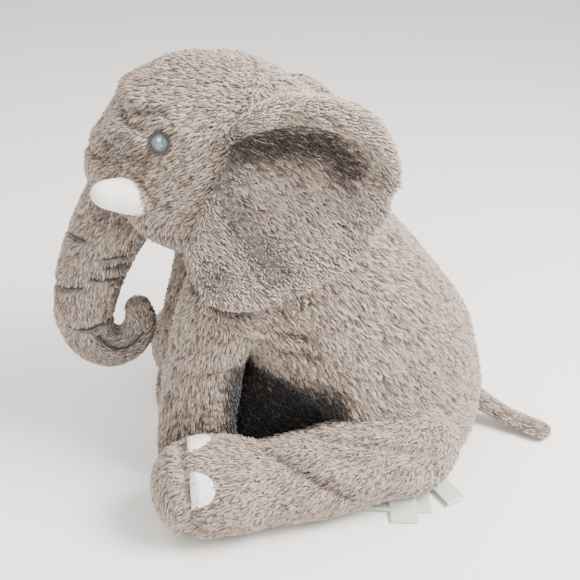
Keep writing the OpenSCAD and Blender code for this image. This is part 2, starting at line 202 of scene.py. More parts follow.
def makeFloor():
    deselect()
    bpy.ops.mesh.primitive_plane_add(size=9, location=(0, 0, -0.0006))
    floor = bpy.context.object
    floor.name = "floor"
    settle(floor)
    paper = plainMaterial("palePaper", (0.925, 0.905, 0.872), 0.85)
    tree = paper.node_tree
    shader = tree.nodes["Principled BSDF"]
    grain = tree.nodes.new("ShaderNodeTexNoise")
    grain.inputs["Scale"].default_value = 350
    where = tree.nodes.new("ShaderNodeTexCoord")
    tree.links.new(where.outputs["Object"], grain.inputs["Vector"])
    bump = tree.nodes.new("ShaderNodeBump")
    bump.inputs["Strength"].default_value = 0.03
    bump.inputs["Distance"].default_value = 0.001
    tree.links.new(grain.outputs["Fac"], bump.inputs["Height"])
    tree.links.new(bump.outputs["Normal"], shader.inputs["Normal"])
    floor.data.materials.append(paper)


makeCamera()
makeLights()
makeFloor()
print("camera, lights and floor ready")


# shaping
def bendPoint(a, b, c, d, t):
    return 0.5 * (2 * b + (c - a) * t + (2 * a - 5 * b + 4 * c - d) * t * t + (3 * b - a - 3 * c + d)
                  * t ** 3)


def refineRows(rows, steps):
    rows = [np.array(r, float) for r in rows]
    near = lambda i: rows[max(0, min(len(rows) - 1, i))]
    out = []
    for i in range(len(rows) - 1):
        for k in range(steps):
            out.append(bendPoint(near(i - 1), near(i), near(i + 1), near(i + 2), k / steps))
    return out + [rows[-1]]


def ringFrame(heading):
    d = heading.normalized()
    u = (Vector((1, 0, 0)) - d * d.x).normalized()
    return u, d.cross(u)


# rings are (centre, heading, half width, half depth), all in millimetres
def extrudeRings(name, rings, sides=28):
    deselect()
    bpy.ops.mesh.primitive_circle_add(vertices=sides, radius=1, fill_type="NGON")
    obj = bpy.context.object
    obj.name = name
    frames = [(Vector(c), *ringFrame(Vector(h)), a, b) for c, h, a, b in rings]
    bpy.ops.object.mode_set(mode="EDIT")
    bpy.ops.mesh.select_all(action="SELECT")
    mesh = bmesh.from_edit_mesh(obj.data)
    local = [(v, v.co.x, v.co.y) for v in mesh.verts]
    for index, (centre, u, w, a, b) in enumerate(frames):
        if index:
            bpy.ops.mesh.extrude_region()
            mesh = bmesh.from_edit_mesh(obj.data)
            before = frames[index - 1]
            local = []
            for v in mesh.verts:
                if v.select:
                    off = v.co / mm - before[0]
                    local.append((v, off.dot(before[1]) / before[3], off.dot(before[2]) / before[4]))
        for v, x, y in local:
            v.co = (centre + u * (a * x) + w * (b * y)) * mm
        bmesh.update_edit_mesh(obj.data)
    bpy.ops.mesh.select_all(action="SELECT")
    bpy.ops.mesh.normals_make_consistent(inside=False)
    bpy.ops.object.mode_set(mode="OBJECT")
    return obj


def limbRings(rows, steps=3, cap=0.0):
    run = refineRows(rows, steps)
    rings = []
    for i, row in enumerate(run):
        before, after = run[max(0, i - 1)], run[min(len(run) - 1, i + 1)]
        rings.append((row[:3], Vector(after[:3] - before[:3]), row[3], row[4]))
    if cap:
        centre, heading, a, b = rings[-1]
        ahead = heading.normalized()
        for q in (20, 40, 60, 78):
            s, c = math.sin(math.radians(q)), math.cos(math.radians(q))
            rings.append((Vector(centre) + ahead * (cap * s), heading, a * c, b * c))
    return rings


def barrelRings(rows, steps=3, inset=0.0):
    rings = []
    for y, z, a, b, tilt in refineRows(rows, steps):
        t = math.radians(tilt)
        rings.append(((0, y, z), Vector((0, -math.sin(t), math.cos(t))), a - inset, b - inset))
    return rings


def ball(at, radius, squash=(1, 1, 1), turn=(0, 0, 0)):
    deselect()
    bpy.ops.mesh.primitive_uv_sphere_add(segments=32, ring_count=20, radius=radius * mm, location=pt(at),
                                         scale=squash, rotation=[math.radians(t) for t in turn])
    obj = bpy.context.object
    settle(obj)
    return obj


def keepLargest(obj):
    only(obj)
    bpy.ops.object.mode_set(mode="EDIT")
    bpy.ops.mesh.select_all(action="SELECT")
    bpy.ops.mesh.separate(type="LOOSE")
    bpy.ops.object.mode_set(mode="OBJECT")
    parts = sorted(bpy.context.selected_objects, key=lambda o: max(o.dimensions), reverse=True)
    remove(*parts[1:])
    return parts[0]


def sewSkin(name, parts, voxel=4.0, smooth=6):
    obj = joinInto(parts[0], parts[1:])
    obj.name = name
    only(obj)
    remesh = obj.modifiers.new("remesh", "REMESH")
    remesh.mode = "VOXEL"
    remesh.voxel_size = voxel * mm
    remesh.use_smooth_shade = True
    soften = obj.modifiers.new("soften", "SMOOTH")
    soften.factor = 0.5
    soften.iterations = smooth
    applyModifiers(obj)
    obj = keepLargest(obj)
    obj.name = name
    obj.data.name = name
    obj.data.materials.clear()
    return obj


def subdivide(obj, levels=1):
    sub = obj.modifiers.new("subdivide", "SUBSURF")
    sub.levels = sub.render_levels = levels
    applyModifiers(obj)
    for polygon in obj.data.polygons:
        polygon.use_smooth = True


# the stuffing presses the cloth out; seams and what rests on something stay put
def stuff(obj, pinned, pressure=4.0, cap=6.0, frames=20, stiffness=15):
    before = points(obj)
    group = obj.vertex_groups.new(name="held")
    held = np.nonzero(pinned > 0.5)[0]
    group.add([int(i) for i in held], 1.0, "REPLACE")
    only(obj)
    cloth = obj.modifiers.new("cloth", "CLOTH")
    cloth.settings.use_pressure = True
    cloth.settings.uniform_pressure_force = pressure
    cloth.settings.quality = 5
    cloth.settings.tension_stiffness = stiffness
    cloth.settings.compression_stiffness = stiffness
    cloth.settings.bending_stiffness = 0.6
    cloth.settings.effector_weights.gravity = 0
    cloth.settings.vertex_group_mass = "held"
    cloth.collision_settings.use_collision = False
    cloth.point_cache.frame_start = 1
    cloth.point_cache.frame_end = frames
    scene = bpy.context.scene
    for number in range(1, frames + 1):
        scene.frame_set(number)
    evaluated = obj.evaluated_get(bpy.context.evaluated_depsgraph_get())
    after = np.array([v.co for v in evaluated.data.vertices], float)
    applyModifiers(obj)
    move = after - before
    size = np.linalg.norm(move, axis=1)
    size[size < 1e-9] = 1e-9
    move *= np.minimum(1, cap * mm / size)[:, None]
    setPoints(obj, before + move)
    scene.frame_set(1)
    obj.vertex_groups.clear()


def segmentDistance(co, line):
    best = np.full(len(co), 1e9)
    for a, b in zip(line[:-1], line[1:]):
        a, b = np.array(a), np.array(b)
        t = np.clip(((co - a) @ (b - a)) / max(1e-12, (b - a) @ (b - a)), 0, 1)
        best = np.minimum(best, np.linalg.norm(co - (a + t[:, None] * (b - a)), axis=1))
    return best


def lineOn(tree, line, steps=6):
    run = [Vector(p) * mm for p in refineRows(line, steps)]
    return [tree.find_nearest(p)[0] for p in run]


# presses seams, tucks and folds into a skin along lines laid on it
def pressLines(obj, lines, depth, width):
    tree = treeOf(obj)
    co, no = points(obj), normals(obj)
    push = np.zeros(len(co))
    for line in lines:
        laid = lineOn(tree, line)
        push = np.maximum(push, np.exp(-(segmentDistance(co, laid) / (width * mm)) ** 2))
    setPoints(obj, co - no * (push * depth * mm)[:, None])


def raiseLines(obj, lines, height, width):
    pressLines(obj, lines, -height, width)


# soft unevenness of stuffing under cloth
def lumps(obj, height, size, seed):
    co, no = points(obj), normals(obj)
    shift = Vector((seed * 7.3, seed * 3.1, seed * 5.7))
    amount = np.array([noise.noise(Vector(p) / (size * mm) + shift) for p in co])
    setPoints(obj, co + no * (amount * height * mm)[:, None])


def flattenFloor(obj, level=0.3):
    co = points(obj)
    low = level * mm
    co[:, 2] = np.where(co[:, 2] < low, low, co[:, 2])
    setPoints(obj, co)


# finishes
# The deep, brown and black tones are mostly painted shade, laid on by the tone functions below: in creases,
# under the ear and its roll, in the gaps between clumps, and near black in the hollow between the legs.
pileTones = dict(  # from light to dark, root and tip
    pale=((0.45, 0.365, 0.305), (0.97, 0.875, 0.785)),
    light=((0.33, 0.26, 0.214), (0.89, 0.785, 0.70)),
    mid=((0.17, 0.124, 0.10), (0.69, 0.59, 0.515)),
    deep=((0.055, 0.038, 0.03), (0.28, 0.21, 0.172)),
    brown=((0.026, 0.014, 0.008), (0.125, 0.07, 0.04)),
    black=((0.004, 0.003, 0.002), (0.014, 0.010, 0.008)),
)


def bumpOnto(material, height, strength, distance):
    tree = material.node_tree
    bump = tree.nodes.new("ShaderNodeBump")
    bump.inputs["Strength"].default_value = strength
    bump.inputs["Distance"].default_value = distance
    tree.links.new(height, bump.inputs["Height"])
    tree.links.new(bump.outputs["Normal"], tree.nodes["Principled BSDF"].inputs["Normal"])


def objectNoise(material, scale, detail=4, stretch=(1, 1, 1)):
    tree = material.node_tree
    where = tree.nodes.new("ShaderNodeTexCoord")
    mapping = tree.nodes.new("ShaderNodeMapping")
    mapping.inputs["Scale"].default_value = stretch
    grain = tree.nodes.new("ShaderNodeTexNoise")
    grain.inputs["Scale"].default_value = scale
    grain.inputs["Detail"].default_value = detail
    tree.links.new(where.outputs["Object"], mapping.inputs["Vector"])
    tree.links.new(mapping.outputs["Vector"], grain.inputs["Vector"])
    return grain


def pileShade(name, colour):
    material = plainMaterial(name, colour, 0.85, 0.25)
    bumpOnto(material, objectNoise(material, 900, 2).outputs["Fac"], 0.25, 0.0005)
    return material


def backingCloth(name, dark, light):
    material = plainMaterial(name, light, 0.95, 0.2)
    tree = material.node_tree
    clumps = objectNoise(material, 210, 5, (1, 0.45, 1))
    patches = objectNoise(material, 22, 3)
    ramp = tree.nodes.new("ShaderNodeValToRGB")
    ramp.color_ramp.elements[0].position, ramp.color_ramp.elements[1].position = 0.36, 0.66
    ramp.color_ramp.elements[0].color, ramp.color_ramp.elements[1].color = (*dark, 1), (*light, 1)
    mix = tree.nodes.new("ShaderNodeMix")
    mix.data_type, mix.blend_type = "RGBA", "MULTIPLY"
    mix.inputs["Factor"].default_value = 0.35
    tree.links.new(clumps.outputs["Fac"], ramp.inputs["Fac"])
    tree.links.new(ramp.outputs["Color"], mix.inputs["A"])
    tree.links.new(patches.outputs["Fac"], mix.inputs["B"])
    tree.links.new(mix.outputs["Result"], tree.nodes["Principled BSDF"].inputs["Base Color"])
    bumpOnto(material, clumps.outputs["Fac"], 0.8, 0.003)
    return material


def feltCloth(name, colour, shade):
    material = plainMaterial(name, colour, 0.92, 0.35)
    tree = material.node_tree
    fibres = objectNoise(material, 1500, 6)
    cloud = objectNoise(material, 90, 3)
    ramp = tree.nodes.new("ShaderNodeValToRGB")
    ramp.color_ramp.elements[0].position, ramp.color_ramp.elements[1].position = 0.3, 0.6
    ramp.color_ramp.elements[0].color, ramp.color_ramp.elements[1].color = (*shade, 1), (*colour, 1)
    tree.links.new(cloud.outputs["Fac"], ramp.inputs["Fac"])
    tree.links.new(ramp.outputs["Color"], tree.nodes["Principled BSDF"].inputs["Base Color"])
    bumpOnto(material, fibres.outputs["Fac"], 0.5, 0.0006)
    return material


def threadShade(name, colour, roughness=0.5):
    material = plainMaterial(name, colour, roughness, 0.3)
    tree = material.node_tree
    strands = objectNoise(material, 2600, 2)
    ramp = tree.nodes.new("ShaderNodeValToRGB")
    ramp.color_ramp.elements[0].position, ramp.color_ramp.elements[1].position = 0.3, 0.7
    ramp.color_ramp.elements[0].color = (*[0.62 * c for c in colour], 1)
    ramp.color_ramp.elements[1].color = (*colour, 1)
    tree.links.new(strands.outputs["Fac"], ramp.inputs["Fac"])
    tree.links.new(ramp.outputs["Color"], tree.nodes["Principled BSDF"].inputs["Base Color"])
    bumpOnto(material, strands.outputs["Fac"], 0.4, 0.0004)
    return material


def satinWeave(name, colour):
    material = plainMaterial(name, colour, 0.38, 0.1)
    tree = material.node_tree
    where = tree.nodes.new("ShaderNodeTexCoord")
    weave = tree.nodes.new("ShaderNodeTexWave")
    weave.inputs["Scale"].default_value = 900
    weave.inputs["Distortion"].default_value = 1.5
    tree.links.new(where.outputs["Object"], weave.inputs["Vector"])
    ramp = tree.nodes.new("ShaderNodeValToRGB")
    ramp.color_ramp.elements[0].color = (*[0.86 * c for c in colour], 1)
    ramp.color_ramp.elements[1].color = (*colour, 1)
    tree.links.new(weave.outputs["Fac"], ramp.inputs["Fac"])
    tree.links.new(ramp.outputs["Color"], tree.nodes["Principled BSDF"].inputs["Base Color"])
    bumpOnto(material, weave.outputs["Fac"], 0.25, 0.0002)
    return material


plushBacking = backingCloth("plushBacking", (0.08, 0.064, 0.057), (0.30, 0.255, 0.23))
whiteFelt = feltCloth("whiteFelt", (0.86, 0.86, 0.82), (0.72, 0.72, 0.68))
darkThread = threadShade("darkThread", (0.035, 0.028, 0.026))
greyThread = threadShade("greyThread", (0.30, 0.27, 0.25))
blueThread = threadShade("blueGreyThread", (0.15, 0.20, 0.22), 0.4)
paleBlueThread = threadShade("paleBlueThread", (0.36, 0.42, 0.44), 0.4)
whiteThread = threadShade("whiteThread", (0.82, 0.85, 0.86), 0.35)
whiteSatin = satinWeave("whiteSatin", (0.60, 0.655, 0.60))

# the padded skins
torsoFacts = dict(
    rings=[(8, 1, 86, 92, 0), (8, 12, 97, 103, 0), (9, 40, 103, 108, 4), (4, 78, 103, 107, 8),
           (-6, 118, 99, 105, 14), (-34, 160, 91, 103, 18),
           (-62, 200, 81, 97, 20), (-84, 232, 69, 93, 20), (-100, 256, 61, 79, 20),
           (-112, 280, 44, 54, 20)],
    inset=1.5, voxel=5.0, fill=0.75,
    spineSeam=[(0, 18, 266), (0, 58, 203), (0, 100, 142), (0, 120, 60), (0, 116, 14)],
    bellySeams=[(28, -190, 205), (34, -160, 130), (40, -110, 60), (42, -80, 20)],
    folds=[[(76, -165, 198), (86, -146, 192), (88, -122, 182), (76, -96, 170), (74, -66, 164)],
           [(82, -158, 182), (86, -143, 175), (80, -122, 163), (72, -96, 150), (80, -60, 146)]],
    ridges=[[(80, -160, 190), (88, -142, 184), (84, -118, 172), (76, -90, 160)]],
)
headFacts = dict(
    rings=[(-152, 236, 42, 40, 0), (-150, 250, 61, 62, 0), (-147, 272, 72, 82, 0), (-144, 300, 75, 92, 0),
           (-142, 330, 73, 92, 0),
           (-140, 354, 66, 83, 0), (-141, 373, 51, 66, 0), (-143, 387, 32, 45, 0), (-145, 395, 13, 20, 0)],
    inset=1.0, voxel=4.0, fill=0.8,
    balls=[((0, -178, 342), 46, (1.05, 1, 1)), ((0, -203, 305), 46, (0.9, 1, 1)),
           ((0, -178, 268), 36, (1.1, 1, 1)),
           ((38, -189, 292), 28, (1, 1, 1)), ((-38, -189, 292), 28, (1, 1, 1)),
           ((0, -92, 322), 52, (1.05, 1, 1))],
    tucks=[[(20, -216, 364), (32, -213, 356), (38, -208, 351), (48, -200, 351)],
           [(38, -200, 360), (46, -190, 362), (54, -180, 364)],
           [(4, -242, 322), (16, -238, 320), (26, -231, 319), (38, -222, 320)]],
    hollows=[[(30, -226, 330), (45, -214, 329), (56, -200, 326)], [(66, -178, 318), (67, -168, 300)]],
    cheeks=[[(50, -214, 318), (60, -203, 310), (66, -196, 297), (66, -198, 284), (52, -212, 268)]],
    brows=[[(18, -214, 374), (34, -204, 368), (46, -190, 372)],
           [(22, -226, 342), (40, -216, 340), (54, -202, 338)], [(56, -178, 357), (66, -166, 352)]],
)
legFacts = dict(
    front=dict(rows=[(46, -142, 188, 36, 36), (43, -158, 130, 35, 35), (41, -168, 70, 34.5, 34.5),
                     (40, -171, 24, 34, 36), (40, -172, 2, 31, 33)],
               voxel=4.0, blend=((46, -142, 196), (44, -156, 146)),
               folds=[[(66, -186, 134), (75, -170, 131), (78, -152, 135), (66, -128, 129)]],
               ridges=[[(74, -166, 146), (78, -146, 148)]]),
    hind=dict(rows=[(88, 30, 44, 42, 42), (102, -20, 44, 41, 41), (112, -70, 42, 40, 40),
                    (117, -112, 39, 37, 37), (119, -140, 44, 41, 42.5), (120, -165, 46, 42, 45),
                    (120, -184, 46, 39, 42)],
              cap=29, voxel=4.0, blend=((86, 42, 44), (104, -28, 44)),
              folds=[[(104, -76, 84), (118, -56, 84), (124, -29, 80), (130, 8, 72), (128, 36, 64)],
                     [(113, -128, 84), (128, -104, 76), (144, -77, 62), (148, -42, 40)],
                     [(104, -190, 88), (124, -187, 90), (142, -184, 82), (156, -181, 64), (160, -180, 46),
                      (154, -182, 24), (140, -184, 8)]],
              ridges=[[(118, -118, 84), (126, -86, 82), (140, -62, 70), (146, -24, 54), (138, 16, 44)]]),
)
trunkFacts = dict(
    upper=[(0, -206, 296, 34, 35), (0, -210, 287, 33.5, 34), (0, -236, 245, 32, 32),
           (0, -256, 203, 29, 29), (0, -266, 165, 26, 26), (0, -266, 158, 25, 25)],
    tip=[(0, -266, 172, 24.5, 24.5), (0, -266, 160, 25.5, 25.5), (0, -262, 136, 22, 22),
         (0, -244, 123, 19, 19), (0, -226, 129, 16, 16), (0, -216, 147, 14, 14), (0, -217, 162, 12, 12)],
    voxel=3.0,
)
tailFacts = dict(rows=[(0, 104, 38, 13, 12), (0, 110, 36, 12, 11), (6, 131, 22, 12, 8.5),
                       (20, 153, 12, 11.5, 7.5), (41, 180, 8, 11, 6.8)], cap=7, voxel=2.5)


def mirrored(rows):
    return [(-r[0], *r[1:]) for r in rows]


def makeTorso():
    facts = torsoFacts
    body = extrudeRings("torsoCore", barrelRings(facts["rings"], 3, facts["inset"]), 40)
    neck = ball((0, -112, 262), 49)
    shoulders = [ball((s * 46, -134, 192), 42, (0.9, 1, 1.15)) for s in (1, -1)]
    hips = [ball((s * 84, 22, 48), 46, (0.75, 1.05, 0.95)) for s in (1, -1)]
    skin = sewSkin("torsoSkin", [body, neck, *shoulders, *hips], facts["voxel"], 10)
    flattenFloor(skin, 0.4)
    co = points(skin)
    seams = [facts["spineSeam"], facts["bellySeams"], mirrored(facts["bellySeams"])]
    tree = treeOf(skin)
    near = np.min([segmentDistance(co, lineOn(tree, line)) for line in seams], axis=0)
    stuff(skin, (near < 4 * mm) | (co[:, 2] < 3 * mm) | (co[:, 2] > 0.268), pressure=3.0, cap=5.0)
    lumps(skin, 3.2, 46, 1)
    subdivide(skin)
    pressLines(skin, seams, 2.2, 4)
    folds = facts["folds"] + [mirrored(f) for f in facts["folds"]]
    ridges = facts["ridges"] + [mirrored(f) for f in facts["ridges"]]
    raiseLines(skin, ridges, 3.5, 9)
    pressLines(skin, folds, 5.5, 6)
    # the belly draws back between the legs
    co = points(skin)
    share = np.exp(-((co[:, 2] / mm - 48) / 46) ** 2) * smoothStep(-co[:, 1] / mm, 20, 80)
    share *= smoothStep(np.abs(co[:, 0]) / mm, 22, 58)
    co[:, 1] += share * 36 * mm
    # and comes forward behind the front legs, where it fills the gap
    middle = np.exp(-((co[:, 2] / mm - 42) / 50) ** 4) * smoothStep(-co[:, 1] / mm, 20, 70)
    middle *= 1 - smoothStep(np.abs(co[:, 0]) / mm, 26, 50)
    co[:, 1] -= middle * np.clip(co[:, 1] / mm + 143, 0, 40) * mm
    setPoints(skin, co)
    flattenFloor(skin, 0.4)
    skin.data.materials.append(plushBacking)
    return skin


def makeHead():
    facts = headFacts
    core = extrudeRings("headCore", barrelRings(facts["rings"], 3, facts["inset"]), 36)
    balls = [ball(*b) for b in facts["balls"]]
    skin = sewSkin("headSkin", [core, *balls], facts["voxel"], 8)
    lumps(skin, 2.4, 38, 2)
    subdivide(skin)
    both = lambda lines: lines + [mirrored(line) for line in lines]
    pressLines(skin, both(facts["hollows"]), 3.0, 11)
    raiseLines(skin, both(facts["brows"]), 3.6, 8)
    pressLines(skin, both(facts["tucks"]), 5.0, 4)
    pressLines(skin, both(facts["cheeks"]), 4.5, 4)
    skin.data.materials.append(plushBacking)
    return skin


def makeLeg(kind, side):
    facts = legFacts[kind]
    rows = facts["rows"] if side > 0 else mirrored(facts["rows"])
    name = kind + "Leg" + ("Left" if side > 0 else "Right")
    core = extrudeRings(name, limbRings(rows, 3, facts.get("cap", 0)), 28)
    top = ball(rows[0][:3], rows[0][3] * 0.99)
    skin = sewSkin(name + "Skin", [core, top], facts["voxel"], 6)
    flattenFloor(skin, 0.4)
    lumps(skin, 2.6, 34, 3 + side + (4 if kind == "hind" else 0))
    lay = lambda lines: lines if side > 0 else [mirrored(line) for line in lines]
    raiseLines(skin, lay(facts["ridges"]), 4.0, 9)
    pressLines(skin, lay(facts["folds"]), 4.5, 5)
    flattenFloor(skin, 0.4)
    skin.data.materials.append(plushBacking)
    return skin


wrinkleFacts = dict(
    upper=[[(4, -270, 244), (18, -264, 246), (27, -254, 245)],
           [(30, -254, 209), (29, -248, 208), (25, -237, 206), (10, -226, 201)],
           [(4, -288, 196), (12, -285, 196), (24, -273, 199), (28, -263, 201)],
           [(29, -240, 219), (25, -230, 219), (16, -221, 217)],
           [(31, -241, 229), (28, -231, 229), (20, -220, 228)]],
    tip=[[(20, -279, 160), (24, -272, 158), (25, -262, 157), (20, -250, 158), (6, -242, 157)],
         [(20, -255, 147), (18, -247, 135), (17, -237, 130), (16, -227, 131), (15, -213, 144)]],
    thread=1.15,
)


def wrinklesOn(skin):
    lines = wrinkleFacts["upper" if "Upper" in skin.name else "tip"]
    return lines + [mirrored(line) for line in lines]


def makeTrunk():
    upper = sewSkin("trunkUpperSkin", [extrudeRings("trunkUpper", limbRings(trunkFacts["upper"], 3), 28)],
                    trunkFacts["voxel"], 5)
    tip = sewSkin("trunkTipSkin", [extrudeRings("trunkTip", limbRings(trunkFacts["tip"], 3, 11), 28)],
                  trunkFacts["voxel"], 5)
    for skin in (upper, tip):
        pressLines(skin, wrinklesOn(skin), 2.6, 3)
        skin.data.materials.append(plushBacking)
    return upper, tip


def makeTail():
    skin = sewSkin("tailSkin", [extrudeRings("tailCore", limbRings(tailFacts["rows"], 3,
        tailFacts["cap"]), 24)], tailFacts["voxel"], 3)
    flattenFloor(skin, 0.4)
    skin.data.materials.append(plushBacking)
    return skin


earFacts = dict(
    rootTop=(72, -128, 351), rootLow=(74, -170, 254), rootBow=9, cup=16, droop=27,
    edge=[(0, 80, -86, 380), (0.12, 100, -59, 385), (0.3, 110, -23, 366), (0.5, 118, -12, 322),
          (0.72, 124, -37, 266), (0.88, 125, -116, 225), (1, 107, -161, 225)],
    rollSize=10.5, rollAt=[((72, -136, 346), 0.45), ((76, -122, 356), 0.6), ((80, -106, 366), 0.85),
                           ((83, -86, 373), 1), ((98, -60, 374), 1), ((108, -30, 361), 0.85),
                           ((114, -14, 338), 0.6), ((117, -10, 318), 0.35)],
    thick=8.0, voxel=3.2,
)


def earSurface(t, s):
    # t runs down the root, s from the root to the free edge, held at the edge past 1
    facts = earFacts
    rows = earSurface.rows
    place = t * (len(rows) - 1)
    i = min(len(rows) - 2, int(place))
    row = rows[i] + (rows[i + 1] - rows[i]) * (place - i)
    share, edge = row[0], row[1:]
    root = np.array(facts["rootTop"]) * (1 - share) + np.array(facts["rootLow"]) * share
    root[0] += facts["rootBow"] * math.sin(math.pi * share)
    s0 = min(s, 1)
    p = root + (edge - root) * s0
    p[0] -= facts["cup"] * math.sin(math.pi * s0) * (0.45 + 0.55 * math.sin(math.pi * share))
    return p


def makeEar(side):
    facts = earFacts
    earSurface.rows = refineRows(facts["edge"], 6)
    nameSide = "Left" if side > 0 else "Right"
    deselect()
    bpy.ops.mesh.primitive_grid_add(x_subdivisions=90, y_subdivisions=110, size=2)
    ear = bpy.context.object
    ear.name = "ear" + nameSide + "Skin"
    co = points(ear)
    flat = np.array([earSurface((y + 1) / 2, (x + 1) / 2) for x, y, _ in co])
    setPoints(ear, flat * mm)
    thick = ear.modifiers.new("thick", "SOLIDIFY")
    thick.thickness = facts["thick"] * mm
    thick.offset = 0
    thick.use_even_offset = False
    applyModifiers(ear)
    # the top edge is turned forward into a roll
    front = Vector((0.92, -0.3, 0.2)).normalized()
    path = refineRows([(*p, share) for p, share in facts["rollAt"]], 4)
    rings = []
    for i, row in enumerate(path):
        heading = Vector(path[min(i + 1, len(path) - 1)][:3]) - Vector(path[max(i - 1, 0)][:3])
        r = facts["rollSize"] * row[3]
        rings.append((tuple(Vector(row[:3]) + front * (r * 0.75)), heading, r, r))
    roll = extrudeRings("earRoll", rings, 20)
    ear = joinInto(ear, [roll])
    remesh = ear.modifiers.new("remesh", "REMESH")
    remesh.mode = "VOXEL"
    remesh.voxel_size = facts["voxel"] * mm
    soften = ear.modifiers.new("soften", "SMOOTH")
    soften.factor = 0.5
    soften.iterations = 6
    applyModifiers(ear)
    ear = keepLargest(ear)
    co = points(ear)
    if side < 0:
        middle = (np.array(facts["rootTop"]) + np.array(facts["rootLow"])) / 2 * mm
        turn = np.array(Matrix.Rotation(math.radians(-facts["droop"]), 3, "X"))
        co = (co - middle) @ turn.T + middle
        co[:, 0] *= -1
        setPoints(ear, co)
        only(ear)
        bpy.ops.object.mode_set(mode="EDIT")
        bpy.ops.mesh.select_all(action="SELECT")
        bpy.ops.mesh.normals_make_consistent(inside=False)
        bpy.ops.object.mode_set(mode="OBJECT")
    ear.name = "ear" + nameSide + "Skin"
    ear.data.name = ear.name
    lumps(ear, 1.6, 30, 11 + side)
    ear.data.materials.clear()
    ear.data.materials.append(plushBacking)
    return ear


torsoSkin = makeTorso()
print("torso", len(torsoSkin.data.polygons))
headSkin = makeHead()
print("head", len(headSkin.data.polygons))
legs = {(kind, side): makeLeg(kind, side) for kind in ("front", "hind") for side in (1, -1)}
print("legs", [len(o.data.polygons) for o in legs.values()])
trunkUpper, trunkTip = makeTrunk()
tailSkin = makeTail()
ears = {side: makeEar(side) for side in (1, -1)}
print("trunk, tail and ears", len(trunkUpper.data.polygons), len(trunkTip.data.polygons),
      len(tailSkin.data.polygons), [len(o.data.polygons) for o in ears.values()])

# joining to the bodies
sideName = {1: "left", -1: "right"}


def flip(p, side):
    return (p[0] * side, p[1], p[2])


bends = {
    "head": ("torso", "head", (0, -80, 235), (0, -130, 290)),
    "trunkUpper": ("head", "trunk_upper", (0, -200, 308), (0, -222, 264)),
    "trunkTip": ("trunk_upper", "trunk_tip", (0, -266, 184), (0, -264, 142)),
    "tail": ("torso", "tail", (0, 104, 40), (4, 124, 27)),
}
for side in (1, -1):
    low, name = sideName[side], sideName[side].capitalize()
    bends["ear" + name] = ("head", "ear_" + low, flip((72, -151, 303), side), flip((79, -137, 297), side))
    for kind in ("front", "hind"):
        span = [flip(p, side) for p in legFacts[kind]["blend"]]
        bends[kind + "Leg" + name] = ("torso", f"{kind}_leg_{low}", *span)


def bendWith(obj, key):
    a, b, start, end = bends[key]
    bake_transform(obj, a, b, start=tuple(pt(start)), end=tuple(pt(end)))


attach(torsoSkin, "torso")
bendWith(headSkin, "head")
bendWith(trunkUpper, "trunkUpper")
bendWith(trunkTip, "trunkTip")
bendWith(tailSkin, "tail")
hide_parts("body_side_left", "body_side_right", "belly_gusset", "seat_panel", "body_stuffing",
            "pellet_bag", "neck_stuffing")
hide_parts("head_side_left", "head_side_right", "forehead_gusset", "chin_gusset",
            "head_stuffing")
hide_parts("trunk_upper_cover", "trunk_upper_stuffing")
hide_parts("trunk_tip_cover", "trunk_tip_stuffing")
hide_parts("tail_cover", "tail_stuffing")
for side in (1, -1):
    low, name = sideName[side], sideName[side].capitalize()
    bendWith(ears[side], "ear" + name)
    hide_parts(f"ear_{low}_front", f"ear_{low}_back")
    for kind in ("front", "hind"):
        bendWith(legs[kind, side], kind + "Leg" + name)
        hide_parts(*[f"{kind}_leg_{low}_{part}"
                                        for part in ("cover", "sole", "stuffing")])

# what is sewn onto the skins
def shade(obj, material):
    obj.data.materials.clear()
    obj.data.materials.append(material)
    for polygon in obj.data.polygons:
        polygon.use_smooth = True


def placeOf(tree, at, normal, up=(0, 0, 1)):
    # the spot on a skin, with its across, up and outward directions
    n = Vector(normal).normalized()
    u = Vector(up).cross(n).normalized()
    hit = tree.ray_cast(pt(at) + n * 0.03, -n, 0.08)[0] or pt(at)
    return hit, u, n.cross(u), n


def layOn(obj, tree, place):
    # a flat piece in millimetres, its z the height over the skin, is laid on the skin
    origin, u, v, n = place
    for vertex in obj.data.vertices:
        x, y, z = vertex.co
        start = origin + u * (x * mm) + v * (y * mm) + n * 0.03
        hit = tree.ray_cast(start, -n, 0.07)[0] or start - n * 0.03
        vertex.co = hit + n * (z * mm)
    obj.data.update()
    only(obj)
    bpy.ops.object.mode_set(mode="EDIT")
    bpy.ops.mesh.select_all(action="SELECT")
    bpy.ops.mesh.normals_make_consistent(inside=False)
    bpy.ops.object.mode_set(mode="OBJECT")
    return obj


def threadTube(name, line, radius, material, sides=6):
    # a thread through points, thinner where it goes back into the cloth
    rings = []
    for i, p in enumerate(line):
        before, after = line[max(0, i - 1)], line[min(len(line) - 1, i + 1)]
        heading = Vector(after) - Vector(before)
        end = min(i, len(line) - 1 - i)
        r = radius * (0.55 if end == 0 else 1.0)
        rings.append((p, heading if heading.length > 1e-6 else Vector((0, 0, 1)), r, r))
    tube = extrudeRings(name, rings, sides)
    shade(tube, material)
    return tube


def padDisc(name, radius, height, material, sides=40):
    # each row is a share of the height, then a share of the radius
    crown = [(0, 1), (0.55, 1), (0.85, 0.93), (1, 0.75), (1.06, 0.4)]
    rings = [((0, 0, height * up), Vector((0, 0, 1)), radius * share, radius * share)
             for up, share in crown]
    disc = extrudeRings(name, rings, sides)
    shade(disc, material)
    return disc


eyeFacts = dict(at=(59, -185, 342), normal=(0.84, -0.44, 0.32), patch=8.8, height=1.6, ring=7.3,
                outerRing=9.0, iris=6.5, threads=17)


def scaled(obj, factor):
    setPoints(obj, points(obj) * factor)
    return obj


